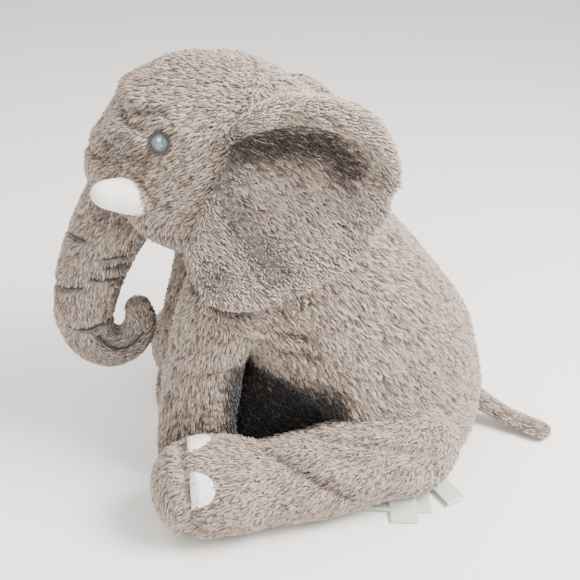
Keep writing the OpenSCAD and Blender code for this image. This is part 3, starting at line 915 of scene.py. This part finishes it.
def makeEye(side, tree):
    facts = eyeFacts
    random.seed(41)
    place = placeOf(tree, flip(facts["at"], side), flip(facts["normal"], side))
    patch = padDisc("eyePatch", facts["patch"], facts["height"], greyThread)
    made = [patch]
    top = facts["height"] + 0.35
    for radius, thick, material in ((facts["ring"], 0.75, darkThread),
                                    (facts["outerRing"], 0.8, darkThread)):
        steps = 36
        for turn in range(0, steps, 2):
            arc = [2 * math.pi * (turn + k * 0.95) / steps for k in (0, 0.5, 1, 1.5, 2)]
            lift = [0.0, 0.25, 0.35, 0.25, 0.0]
            line = [((radius + random.uniform(-0.1, 0.1)) * math.cos(a), radius * math.sin(a),
                     (top if radius < 8.9 else 1.9) - 0.1 + h) for a, h in zip(arc, lift)]
            made.append(threadTube("ringStitch", line, thick, material, 5))
    # satin stitches fill the iris, side by side
    for i in range(facts["threads"]):
        x = facts["iris"] * (2 * (i + 0.5) / facts["threads"] - 1)
        reach = math.sqrt(max(0.1, facts["iris"] ** 2 - x * x)) * random.uniform(0.93, 1.0)
        line = [(x + random.uniform(-0.12, 0.12), reach * t, top + 0.5 * (1 - t * t) - 0.15)
                for t in (-1, -0.6, -0.2, 0.2, 0.6, 1)]
        tone = paleBlueThread if abs(x + 0.6) < 2.4 and i % 2 else blueThread
        made.append(threadTube("irisStitch", line, 0.46, tone, 5))
    for i in range(6):
        x = -1.4 + 0.5 * i
        ends = (1.0 - 0.3 * abs(i - 2), 2.2, 3.6 - 0.2 * abs(i - 3))
        line = [(x, y, top + 0.85 - 0.05 * abs(i - 2.5)) for y in ends]
        made.append(threadTube("glint", line, 0.36, whiteThread, 5))
    for i in range(3):
        made.append(threadTube("glint", [(1.4 + 0.5 * i, -2.6, top + 0.7),
                                         (1.5 + 0.5 * i, -1.6, top + 0.8)], 0.3, whiteThread, 5))
    eye = joinInto(made[0], made[1:])
    eye.name = "eye" + sideName[side].capitalize() + "Embroidery"
    layOn(scaled(eye, 1 / mm), tree, place)
    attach(eye, "head")
    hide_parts("eye_" + sideName[side])
    return eye


tuskFacts = dict(
    base=(46, -203, 291), tip=(60, -242, 304), radius=15.4, length=44, bend=2.0,
    profile=[(0.0, 0.98), (0.2, 1.0), (0.4, 0.96), (0.6, 0.87), (0.76, 0.75), (0.88, 0.58), (0.95, 0.4),
             (0.99, 0.2), (1.0, 0.06)],
)


def makeTusk(side):
    facts = tuskFacts
    base, tip = Vector(flip(facts["base"], side)), Vector(flip(facts["tip"], side))
    way = (tip - base).normalized()
    rings = []
    for t, share in refineRows(facts["profile"], 3):
        sag = -facts["bend"] * t * t + facts["bend"] * 0.6 * t
        centre = base + way * (facts["length"] * t) + Vector((0, 0, sag))
        rings.append((tuple(centre), way, facts["radius"] * share, facts["radius"] * share * 0.97))
    tusk = extrudeRings("tusk" + sideName[side].capitalize() + "Felt", rings, 36)
    lumps(tusk, 0.5, 16, 21 + side)
    subdivide(tusk)
    # the seam along its underside
    seam = [tuple(Vector(c) - Vector((0, 0, a * 0.99))) for c, h, a, b in rings[1:-3]]
    pressLines(tusk, [seam], 0.7, 1.1)
    stitches = []
    for i in range(1, len(seam) - 2, 2):
        a, b = Vector(seam[i]), Vector(seam[i + 1])
        stitches.append(threadTube("tuskStitch", [tuple(a), tuple((a + b) / 2 - Vector((0, 0, 0.35))),
                                                  tuple(b)], 0.3, whiteThread, 5))
    tusk.data.materials.append(whiteFelt)
    tusk = joinInto(tusk, stitches)
    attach(tusk, "head")
    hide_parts("tusk_" + sideName[side], *(["tusk_stuffing"] if side > 0 else []))
    return tusk


nailFacts = dict(
    hind=dict(centre=(120, -181, 46), turns=(36, 104, 170), radius=44, size=(16.5, 17.5), height=2.6),
    front=dict(centre=(40, -171, 6), turns=(-46, 0, 46), radius=36, size=(12.5, 13.5), height=2.4),
)


def makeNails(kind, side):
    facts = nailFacts[kind]
    leg = legs[kind, side]
    tree = treeOf(leg)
    wide, tall = facts["size"]
    made, spots = [], []
    for turn in facts["turns"]:
        a = math.radians(turn)
        if kind == "hind":
            out = Vector((math.cos(a), 0, math.sin(a)))
            up = Vector((0, 1, 0))
        else:
            out = Vector((math.sin(a), -math.cos(a), 0))
            up = Vector((0, 0, 1))
        at = Vector(facts["centre"]) + out * facts["radius"]
        place = placeOf(tree, flip(at, side), flip(out, side), up)
        deselect()
        bpy.ops.mesh.primitive_grid_add(x_subdivisions=18, y_subdivisions=12, size=2)
        nail = bpy.context.object
        for vertex in nail.data.vertices:
            x, y = vertex.co.x, (vertex.co.y + 1) / 2
            narrow = math.sqrt(max(0.0, 1 - 0.5 * y * y))
            rise = math.sqrt(max(0.0, 1 - 0.5 * x * x))
            across, along = x * narrow, y * rise
            rim = max(abs(x), vertex.co.y, -vertex.co.y)
            vertex.co = (across * wide, along * tall * 1.25, facts["height"] * (1 - 0.55 * rim ** 8))
        thick = nail.modifiers.new("thick", "SOLIDIFY")
        thick.thickness = 1.6
        thick.offset = -1
        applyModifiers(nail)
        shade(nail, whiteFelt)
        layOn(nail, tree, place)
        made.append(nail)
        origin, u, v, n = place
        for k in (0.25, 0.7):
            spots.append(np.array(origin + v * (tall * k * mm)) / mm)
    nails = joinInto(made[0], made[1:])
    nails.name = leg.name.replace("Skin", "Nails")
    subdivide(nails)
    growNails[leg.name] = (spots, wide * 0.62)
    bendWith(nails, leg.name.replace("Skin", ""))
    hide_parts(f"{kind}_leg_{sideName[side]}_toenails")
    return nails


def makeWrinkleThreads(skin, key, node):
    tree = treeOf(skin)
    made = []
    for line in wrinklesOn(skin):
        laid = lineOn(tree, line, 5)
        raised = []
        for i, p in enumerate(laid):
            near, normal = tree.find_nearest(p)[:2]
            raised.append(tuple((near + normal * (1.9 if i % 3 else 0.9) * mm) / mm))
        made.append(threadTube("wrinkle", raised, wrinkleFacts["thread"], darkThread, 6))
    threads = joinInto(made[0], made[1:])
    threads.name = skin.name.replace("Skin", "Threads")
    bendWith(threads, key)
    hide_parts(node)
    return threads


def makeClosingStitches():
    tree = treeOf(torsoSkin)
    laid = lineOn(tree, torsoFacts["spineSeam"], 12)
    made = []
    for i in range(4, len(laid) - 6, 3):
        a, b = laid[i] + Vector((0.003, 0, 0)), laid[i + 1] - Vector((0.003, 0, 0))
        middle, normal = tree.find_nearest((a + b) / 2)[:2]
        lineNow = [tree.find_nearest(a)[0], middle + normal * 1.3 * mm, tree.find_nearest(b)[0]]
        made.append(threadTube("closing", [tuple(p / mm) for p in lineNow], 0.5, darkThread, 6))
    stitches = joinInto(made[0], made[1:])
    stitches.name = "closingStitches"
    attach(stitches, "torso")
    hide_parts("closing_stitches")


labelFacts = dict(
    strip=dict(start=(104, -44), way=(0.16, 0.987), length=86, width=34, lift=4.0),
    tag=dict(start=(104, 16), way=(0.97, -0.16), length=40, width=26, lift=7.0),
    loop=dict(start=(88, 50), way=(0.94, 0.34), length=38, width=20, lift=0.4),
)


def ribbon(name, path, across, width):
    # a ribbon of satin along a path, thin, with its edges a little waved
    deselect()
    bpy.ops.mesh.primitive_grid_add(x_subdivisions=len(path) - 1, y_subdivisions=10, size=2)
    obj = bpy.context.object
    obj.name = name
    steps = len(path) - 1
    side = Vector(across).normalized()
    for vertex in obj.data.vertices:
        place = (vertex.co.x + 1) / 2 * steps
        i = min(steps - 1, int(place))
        p = Vector(path[i]).lerp(Vector(path[i + 1]), place - i)
        wave = 0.25 * math.sin(place * 0.8 + vertex.co.y * 1.6)
        vertex.co = (p + side * (vertex.co.y * width / 2) + Vector((0, 0, wave + 0.25))) * mm
    obj.data.update()
    thick = obj.modifiers.new("thick", "SOLIDIFY")
    thick.thickness = 0.35 * mm
    thick.offset = 1
    applyModifiers(obj)
    shade(obj, whiteSatin)
    only(obj)
    bpy.ops.object.mode_set(mode="EDIT")
    bpy.ops.mesh.select_all(action="SELECT")
    bpy.ops.mesh.normals_make_consistent(inside=False)
    bpy.ops.object.mode_set(mode="OBJECT")
    return obj


def makeLabels():
    for name, facts in labelFacts.items():
        way = Vector((*facts["way"], 0)).normalized()
        across = Vector((-way.y, way.x, 0))
        start = Vector((*facts["start"], 0.5))
        steps = 26
        if name == "loop":  # folded back on itself
            half = facts["length"]
            path = [start + way * (half * k / 14) for k in range(15)]
            path += [path[14] + way * (2.0 * math.sin(a)) + Vector((0, 0, 2.0 * (1 - math.cos(a))))
                     for a in [math.pi * k / 8 for k in range(1, 9)]]
            path += [path[22] - way * (half * k / 14) for k in range(1, 14)]
        else:
            path = []
            for k in range(steps + 1):
                t = k / steps
                height = facts["lift"] * math.sin(math.pi * min(1, t * 1.1)) * (0.6 + 0.4 * math.sin(7 * t))
                path.append(start + way * (facts["length"] * t) + Vector((0, 0, max(0, height))))
        label = ribbon("careLabel" + name.capitalize(), [tuple(p) for p in path], tuple(across),
                       facts["width"])
        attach(label, "torso")
        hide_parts("care_label_" + name)


growNails = {}
headTree = treeOf(headSkin)
for side in (1, -1):
    makeEye(side, headTree)
    makeTusk(side)
    for kind in ("front", "hind"):
        makeNails(kind, side)
makeWrinkleThreads(trunkUpper, "trunkUpper", "trunk_upper_threads")
makeWrinkleThreads(trunkTip, "trunkTip", "trunk_tip_threads")
makeClosingStitches()
makeLabels()
print("eyes, tusks, toenails, threads and labels sewn on")

# the pile
pileFacts = dict(radius=0.86, length=9.2, bow=1.4, perSquareMetre=290000, lift=20, clump=0.42,
                 clumpSize=7.5, streak=0.72, seed=7)
trashTufts = []


def makeTufts():
    tufts = bpy.data.collections.new("tufts")
    bpy.context.scene.collection.children.link(tufts)
    for index, (name, (root, tip)) in enumerate(pileTones.items()):
        deselect()
        radius, length = pileFacts["radius"] * mm, pileFacts["length"] * mm
        bpy.ops.mesh.primitive_cone_add(vertices=3, radius1=radius, radius2=radius * 0.62,
                                        depth=length * 0.5,
                                        end_fill_type="NGON", location=(0, 0, length * 0.2))
        tuft = bpy.context.object
        settle(tuft)
        bpy.ops.object.mode_set(mode="EDIT")
        mesh = bmesh.from_edit_mesh(tuft.data)
        top = max(v.co.z for v in mesh.verts)
        for face in mesh.faces:
            face.select = all(v.co.z > top - 1e-6 for v in face.verts)
        bmesh.update_edit_mesh(tuft.data)
        lean = (0, pileFacts["bow"] * mm, length * 0.5)
        bpy.ops.mesh.extrude_region_move(TRANSFORM_OT_translate={"value": lean})
        bpy.ops.mesh.merge(type="CENTER")
        bpy.ops.mesh.select_all(action="SELECT")
        bpy.ops.mesh.normals_make_consistent(inside=False)
        bpy.ops.object.mode_set(mode="OBJECT")
        tuft.name = f"tuft{index}"
        tuft.data.materials.append(pileShade(name + "PileRoot", root))
        tuft.data.materials.append(pileShade(name + "PileTip", tip))
        for polygon in tuft.data.polygons:
            polygon.use_smooth = True
            polygon.material_index = 1 if polygon.center.z > top * 0.72 else 0
        for collection in list(tuft.users_collection):
            collection.objects.unlink(tuft)
        tufts.objects.link(tuft)
        trashTufts.append(tuft)
    return tufts


def furTree(name, collection, seed):
    tree = bpy.data.node_groups.new(name, "GeometryNodeTree")
    tree.interface.new_socket("Geometry", in_out="INPUT", socket_type="NodeSocketGeometry")
    tree.interface.new_socket("Geometry", in_out="OUTPUT", socket_type="NodeSocketGeometry")
    new, link = tree.nodes.new, tree.links.new

    def attribute(kind, label):
        node = new("GeometryNodeInputNamedAttribute")
        node.data_type = kind
        node.inputs["Name"].default_value = label
        return node.outputs["Attribute"]

    def vectorMath(operation, a, b=None, scale=None):
        node = new("ShaderNodeVectorMath")
        node.operation = operation
        for socket, value in zip(node.inputs, (a, b)):
            if value is not None:
                if hasattr(value, "is_linked"):
                    link(value, socket)
                else:
                    socket.default_value = value
        if scale is not None:
            if hasattr(scale, "is_linked"):
                link(scale, node.inputs["Scale"])
            else:
                node.inputs["Scale"].default_value = scale
        return node.outputs["Vector"]

    def maths(operation, a, b):
        node = new("ShaderNodeMath")
        node.operation = operation
        for socket, value in zip(node.inputs, (a, b)):
            if hasattr(value, "is_linked"):
                link(value, socket)
            else:
                socket.default_value = value
        return node.outputs["Value"]

    def chance(kind, least, most, number):
        node = new("FunctionNodeRandomValue")
        node.data_type = kind
        sockets = [s for s in node.inputs if s.enabled]
        if kind == "FLOAT_VECTOR":
            sockets[0].default_value = (least,) * 3
            sockets[1].default_value = (most,) * 3
            outputs = [s for s in node.outputs if s.enabled]
        else:
            sockets[0].default_value, sockets[1].default_value = least, most
            outputs = [s for s in node.outputs if s.enabled]
        node.inputs["Seed"].default_value = number
        return outputs[0]

    source, result = new("NodeGroupInput"), new("NodeGroupOutput")
    scatter = new("GeometryNodeDistributePointsOnFaces")
    link(source.outputs[0], scatter.inputs["Mesh"])
    link(attribute("FLOAT", "pile"), scatter.inputs["Density"])
    scatter.inputs["Seed"].default_value = seed
    where = new("GeometryNodeInputPosition")
    grain = new("ShaderNodeTexNoise")
    grain.inputs["Scale"].default_value = 1 / (pileFacts["clumpSize"] * mm)
    grain.inputs["Detail"].default_value = 2
    # the noise is drawn out along the pile, so neighbouring tufts lie together in streaks
    nap = attribute("FLOAT_VECTOR", "nap")
    along = new("ShaderNodeVectorMath")
    along.operation = "DOT_PRODUCT"
    link(where.outputs[0], along.inputs[0])
    link(nap, along.inputs[1])
    drawn = vectorMath("SUBTRACT", where.outputs[0], vectorMath("SCALE", nap,
        scale=maths("MULTIPLY", along.outputs["Value"], pileFacts["streak"])))
    link(drawn, grain.inputs["Vector"])
    gaps = new("ShaderNodeTexNoise")
    gaps.inputs["Scale"].default_value = 1 / (pileFacts["clumpSize"] * 0.42 * mm)
    gaps.inputs["Detail"].default_value = 1
    link(drawn, gaps.inputs["Vector"])
    leaning = vectorMath("SCALE", vectorMath("SUBTRACT", grain.outputs["Color"], (0.5, 0.5, 0.5)),
                         scale=pileFacts["clump"] * 2.6)
    jitter = chance("FLOAT_VECTOR", -0.2, 0.2, seed + 1)
    rising = vectorMath("SCALE", scatter.outputs["Normal"], scale=attribute("FLOAT", "lift"))
    way = vectorMath("ADD", vectorMath("ADD", attribute("FLOAT_VECTOR", "nap"), leaning),
                     vectorMath("ADD", rising, jitter))
    # a tuft never points back into the cloth
    dot = new("ShaderNodeVectorMath")
    dot.operation = "DOT_PRODUCT"
    link(way, dot.inputs[0])
    link(scatter.outputs["Normal"], dot.inputs[1])
    lacking = maths("MAXIMUM", maths("SUBTRACT", 0.22, dot.outputs["Value"]), 0.0)
    way = vectorMath("ADD", way, vectorMath("SCALE", scatter.outputs["Normal"], scale=lacking))
    align = new("FunctionNodeAlignRotationToVector")
    align.axis = "Z"
    link(way, align.inputs["Vector"])
    face = new("FunctionNodeAlignRotationToVector")
    face.axis, face.pivot_axis = "Y", "Z"
    link(align.outputs[0], face.inputs["Rotation"])
    link(vectorMath("ADD", scatter.outputs["Normal"], vectorMath("SCALE",
        chance("FLOAT_VECTOR", -1.0, 1.0, seed + 2), scale=0.9)), face.inputs["Vector"])
    pick = new("GeometryNodeCollectionInfo")
    pick.inputs["Collection"].default_value = collection
    pick.inputs["Separate Children"].default_value = True
    pick.inputs["Reset Children"].default_value = True
    place = new("GeometryNodeInstanceOnPoints")
    link(scatter.outputs["Points"], place.inputs["Points"])
    link(pick.outputs[0], place.inputs["Instance"])
    place.inputs["Pick Instance"].default_value = True
    tone = maths("ADD", attribute("FLOAT", "tone"), chance("FLOAT", -0.75, 0.75, seed + 3))
    tone = maths("ADD", tone, maths("MULTIPLY", maths("SUBTRACT", 0.5, grain.outputs["Fac"]), 2.2))
    # Tufts in the gaps between clumps are shorter, as the pile is, and take a darker tone here as painted
    # shade in those gaps.
    tone = maths("ADD", tone, maths("MULTIPLY", maths("SUBTRACT", 0.5, gaps.outputs["Fac"]), 6.5))
    link(maths("MINIMUM", maths("MAXIMUM", maths("ROUND", tone, 0), 0), 5), place.inputs["Instance Index"])
    link(face.outputs[0], place.inputs["Rotation"])
    fullness = maths("ADD", maths("MULTIPLY", gaps.outputs["Fac"], 1.3), 0.38)
    size = vectorMath("SCALE", chance("FLOAT_VECTOR", 0.82, 1.18, seed + 4),
                      scale=maths("MULTIPLY", attribute("FLOAT", "size"), fullness))
    link(size, place.inputs["Scale"])
    real = new("GeometryNodeRealizeInstances")
    link(place.outputs["Instances"], real.inputs["Geometry"])
    link(real.outputs["Geometry"], result.inputs[0])
    return tree


def setAttribute(obj, name, kind, values):
    attribute = obj.data.attributes.get(name) or obj.data.attributes.new(name, kind, "POINT")
    attribute.data.foreach_set("vector" if kind == "FLOAT_VECTOR" else "value",
                               np.ascontiguousarray(values, dtype=np.float32).ravel())


def inside(co, no, blockers, margin=1.5):
    hidden = np.zeros(len(co), bool)
    for tree, low, high in blockers:
        for i in np.nonzero(np.all((co > low) & (co < high), axis=1) & ~hidden)[0]:
            p = Vector(co[i])
            at, normal, _, distance = tree.find_nearest(p)
            hidden[i] = (p - at).dot(normal) < -margin * mm
    return hidden


def blockerOf(obj):
    co = points(obj)
    return treeOf(obj), co.min(0), co.max(0)


def growPile(obj, nap, key, parts=1, split=None, tone=None, size=None, lift=None, bare=None, blockers=(),
             floor=True):
    # nap(co, no) gives the way the pile lies at each point
    co, no = points(obj), normals(obj)
    way = nap(co / mm, no)
    way = way - no * np.sum(way * no, axis=1)[:, None]
    length = np.linalg.norm(way, axis=1)
    way = way / np.maximum(length, 1e-6)[:, None]
    pile = np.full(len(co), pileFacts["perSquareMetre"])
    pile[inside(co, no, blockers)] = 0
    if floor:
        pile[(co[:, 2] < 1.2 * mm)] = 0
    if bare is not None:
        pile[bare(co / mm)] = 0
    which = np.zeros(len(co), int) if split is None else split(co / mm)
    made = []
    for part in range(parts):
        fur = duplicate(obj, obj.name.replace("Skin", "Pile") + (str(part + 1) if parts > 1 else ""))
        fur.data.name = fur.name
        setAttribute(fur, "nap", "FLOAT_VECTOR", way * math.cos(math.radians(pileFacts["lift"])))
        setAttribute(fur, "pile", "FLOAT", np.where(which == part, pile, 0))
        setAttribute(fur, "tone", "FLOAT", np.full(len(co), 1.0) if tone is None else tone(co / mm, no))
        setAttribute(fur, "size", "FLOAT", np.ones(len(co)) if size is None else size(co / mm))
        setAttribute(fur, "lift", "FLOAT", np.full(len(co), math.sin(math.radians(pileFacts["lift"])))
                     if lift is None else lift(co / mm))
        growPile.count += 1
        grow = fur.modifiers.new("pile", "NODES")
        grow.node_group = furTree(fur.name + "Tree", growPile.tufts,
                                  pileFacts["seed"] + growPile.count * 11)
        applyModifiers(fur)
        for attribute in [a.name for a in fur.data.attributes
                          if a.name in ("nap", "pile", "tone", "size", "lift")]:
            fur.data.attributes.remove(fur.data.attributes[attribute])
        if floor:
            flattenFloor(fur, 0.1)
        if key:
            bendWith(fur, key)
        else:
            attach(fur, "torso")
        made.append(fur)
        print(fur.name, len(fur.data.polygons))
    return made


growPile.count = 0
growPile.tufts = makeTufts()


def napTorso(co, no):
    way = np.tile([0.0, 0.62, -0.78], (len(co), 1))
    low = smoothStep(co[:, 2], 120, 30)[:, None]
    way = way * (1 - low) + np.array([0, 1.0, -0.25]) * low
    chest = smoothStep(-co[:, 1], 120, 170)[:, None]
    return way * (1 - chest) + np.array([0, 0, -1.0]) * chest


def napHead(co, no):
    sides = np.sign(co[:, 0])[:, None] * np.array([1, 0, 0]) * 0.12
    way = np.tile([0.0, -0.86, -0.42], (len(co), 1)) + sides
    top = smoothStep(co[:, 2], 352, 385)[:, None]
    back = smoothStep(co[:, 1], -125, -90)[:, None]
    way = way * (1 - top) + np.array([0, -0.95, -0.05]) * top
    way = way * (1 - back) + np.array([0, 0.55, -0.8]) * back
    low = smoothStep(-co[:, 2], -285, -262)[:, None]
    return way * (1 - low) + np.array([0, -0.3, -0.95]) * low


def napAlong(rows):
    line = [np.array(r[:3]) for r in refineRows(rows, 4)]

    def nap(co, no):
        best, way = np.full(len(co), 1e9), np.zeros((len(co), 3))
        for a, b in zip(line[:-1], line[1:]):
            t = np.clip(((co - a) @ (b - a)) / ((b - a) @ (b - a)), 0, 1)
            distance = np.linalg.norm(co - (a + t[:, None] * (b - a)), axis=1)
            closer = distance < best
            best[closer] = distance[closer]
            way[closer] = (b - a) / np.linalg.norm(b - a)
        return way
    return nap


def napHind(side):
    rows = legFacts["hind"]["rows"] if side > 0 else mirrored(legFacts["hind"]["rows"])
    along = napAlong(rows)

    def nap(co, no):
        way = along(co, no) + np.array([0.1 * side, 0, -0.25])
        sole = smoothStep(-co[:, 1], 190, 200)[:, None]
        radial = co - np.array([120 * side, -190, 60])
        radial /= np.maximum(np.linalg.norm(radial, axis=1), 1)[:, None]
        return way * (1 - sole) + (np.array([0.15 * side, -0.1, -1.0]) + 0.3 * radial) * sole
    return nap


def napEar(side):
    facts = earFacts
    top, low = [np.array(flip(facts[k], side)) for k in ("rootTop", "rootLow")]

    def nap(co, no):
        t = np.clip(((co - top) @ (low - top)) / ((low - top) @ (low - top)), 0, 1)
        out = co - (top + (low - top) * t[:, None])
        out /= np.maximum(np.linalg.norm(out, axis=1), 1e-6)[:, None]
        return out + np.array([0, 0.1, -0.35])
    return nap


earBand = [(80, -147, 325), (92, -124, 278), (108, -94, 235)]
earPatch = (95, -149, 233)
# the painted shadow under the ear's roll lies along this line
underRoll = [(75, -130, 340), (86, -95, 345), (97, -62, 345), (104, -48, 330)]


def earBandShare(co, side):
    spot = co * np.array([side, 1, 1])
    band = np.exp(-(segmentDistance(spot, earBand) / 13) ** 2)
    patch = np.exp(-(np.linalg.norm(spot - np.array(earPatch), axis=1) / 15) ** 2)
    return np.maximum(band, patch) * (0.6 + 0.4 * (np.sin(spot[:, 1] * 0.9)
                                                   * np.sin(spot[:, 2] * 0.8) > -0.3))


def toneAndShadeEar(side):
    def tone(co, no):
        spot = co * np.array([side, 1, 1])
        # painted shadow, dark brown to black, on the ear's front under the roll
        shade = np.exp(-(segmentDistance(spot, underRoll) / 13) ** 2)
        return 0.6 + 2.0 * earBandShare(co, side) + 4.6 * shade * (no[:, 0] * side > 0)
    return tone


def sizeEar(side):
    return lambda co: 0.85 - 0.3 * earBandShare(co, side)


def liftEar(side):
    return lambda co: 0.34 + 1.3 * earBandShare(co, side)


def onLeftSide(co):
    # both sides are alike, so a point on the right is looked up on the left
    return np.abs(co) * np.array([1, 0, 0]) + co * np.array([0, 1, 1])


def near(co, line, width):
    return np.exp(-(segmentDistance(co, line) / width) ** 2)


def toneAndShadeTorso(co, no):
    spot = onLeftSide(co)
    # Painted shade: darker under the ear and in the folds, and near black in the hollow between the legs.
    under = near(spot, [(70, -168, 214), (90, -138, 203), (90, -96, 204), (96, -50, 222)], 15)
    folds = near(spot, torsoFacts["folds"][0], 5) + near(spot, torsoFacts["folds"][1], 5)
    hollow = np.exp(-((co[:, 2] - 46) / 62) ** 4) * smoothStep(-co[:, 1], 22, 52) * (np.abs(co[:, 0]) < 96)
    return 0.95 + 2.3 * under + 1.3 * folds + 6.5 * hollow


def toneAndShadeHead(co, no):
    spot = onLeftSide(co)
    # Painted shade: darker in the tucks and cheek folds, in the hollow in front of the eye and under the
    # chin.
    dark = sum(near(spot, line, 3.2) for line in headFacts["tucks"] + headFacts["cheeks"])
    soft = near(spot, headFacts["hollows"][0], 12)
    chin = smoothStep(-co[:, 2], -276, -258)
    return 0.9 + 1.9 * dark + 1.3 * soft + 0.8 * chin


def toneAndShadeTrunk(co, no):
    # Painted shade: darker on the side facing the body and the floor, in the creases and under the tusk.
    inner = smoothStep((no * np.array([0, 0.9, -0.3])).sum(axis=1), 0.35, 0.9)
    lines = [line for part in ("upper", "tip") for line in wrinkleFacts[part]]
    spot = onLeftSide(co)
    creases = np.clip(sum(near(spot, line, 2.6) for line in lines), 0, 1)
    underTusk = near(spot, [(28, -236, 268), (34, -220, 262)], 9)
    return 0.9 + 1.2 * inner + 1.5 * creases + 1.6 * underTusk


def toneAndShadeFront(co, no):
    # Painted shade, near black, at the back of the leg in the gap before the hind leg; the leg is also a
    # little darker towards the foot.
    back = smoothStep(co[:, 1], -150, -133) * smoothStep(-co[:, 2], -150, -110)
    foot = smoothStep(-co[:, 2], -95, -60)
    return 1.0 + 4.6 * back + 0.7 * foot


def toneAndShadeHind(co, no):
    spot = onLeftSide(co)
    # Painted shade: darker in the creases and near black on the inner side, in the hollow under the belly.
    creases = sum(near(spot, line, 3.5) for line in legFacts["hind"]["folds"])
    inner = smoothStep(-np.abs(co[:, 0]), -104, -86)
    inner *= smoothStep(-co[:, 1], -30, 20) * smoothStep(co[:, 1], -150, -118)
    return 0.7 + 1.5 * np.clip(creases, 0, 1.2) + 4.6 * inner


def baldNear(spots, radius):
    return lambda co: np.min([np.linalg.norm(co - np.array(s), axis=1) for s in spots], axis=0) < radius


def baldThreads(co):
    lines = [line for part in ("upper", "tip") for line in wrinkleFacts[part]]
    spot = onLeftSide(co)
    return np.min([segmentDistance(spot, line) for line in lines], axis=0) < 3.4


def baldHead(co):
    spot = onLeftSide(co)
    eye = np.linalg.norm(spot - np.array(eyeFacts["at"]), axis=1) < 10.5
    tusk = segmentDistance(spot, [tuskFacts["base"], tuskFacts["tip"]]) < 13.0
    return eye | tusk


growBlockers = {name: blockerOf(obj) for name, obj in dict(torso=torsoSkin, head=headSkin,
    upper=trunkUpper, tip=trunkTip, **{f"{k}{s}": legs[k, s] for k, s in legs}).items()}


def blockersFor(*names):
    return [growBlockers[n] for n in names]


def torsoPart(co):
    # six sectors round the body
    return np.clip(((np.degrees(np.arctan2(co[:, 0], co[:, 1])) + 180) / 60).astype(int), 0, 5)


def headPart(co):
    return np.where(co[:, 1] > -118, 2, np.where(co[:, 0] > 0, 0, 1))


def evenSize(share):
    return lambda co: np.full(len(co), share)


growPile(torsoSkin, napTorso, None, 6, torsoPart, tone=toneAndShadeTorso,
         blockers=blockersFor("head", "front1", "front-1", "hind1", "hind-1"))
growPile(headSkin, napHead, "head", 3, headPart, tone=toneAndShadeHead, bare=baldHead,
         blockers=blockersFor("torso", "upper"), floor=False)
growPile(trunkUpper, napAlong(trunkFacts["upper"]), "trunkUpper", tone=toneAndShadeTrunk, bare=baldThreads,
         blockers=blockersFor("head", "tip"), size=evenSize(0.8), floor=False)
growPile(trunkTip, napAlong(trunkFacts["tip"]), "trunkTip", tone=toneAndShadeTrunk, bare=baldThreads,
         blockers=blockersFor("upper"), size=evenSize(0.72), floor=False)
growPile(tailSkin, napAlong(tailFacts["rows"]), "tail", blockers=blockersFor("torso"), size=evenSize(0.72))
for side in (1, -1):
    name = sideName[side].capitalize()
    for fur in growPile(ears[side], napEar(side), "ear" + name, 2, lambda co: (co[:, 2] > 300).astype(int),
                        tone=toneAndShadeEar(side), size=sizeEar(side), lift=liftEar(side),
                        blockers=blockersFor("head", "torso"), floor=False):
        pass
    front, hind = legs["front", side], legs["hind", side]
    frontRows = legFacts["front"]["rows"] if side > 0 else mirrored(legFacts["front"]["rows"])
    growPile(front, napAlong(frontRows), "frontLeg" + name, tone=toneAndShadeFront,
             bare=baldNear(*growNails[front.name]), blockers=blockersFor("torso", f"hind{side}"))
    growPile(hind, napHind(side), "hindLeg" + name, 2, lambda co: (co[:, 1] < -100).astype(int),
             tone=toneAndShadeHind, bare=baldNear(*growNails[hind.name]),
             blockers=blockersFor("torso", f"front{side}"))
remove(*trashTufts)
bpy.data.collections.remove(growPile.tufts)
print("pile grown")
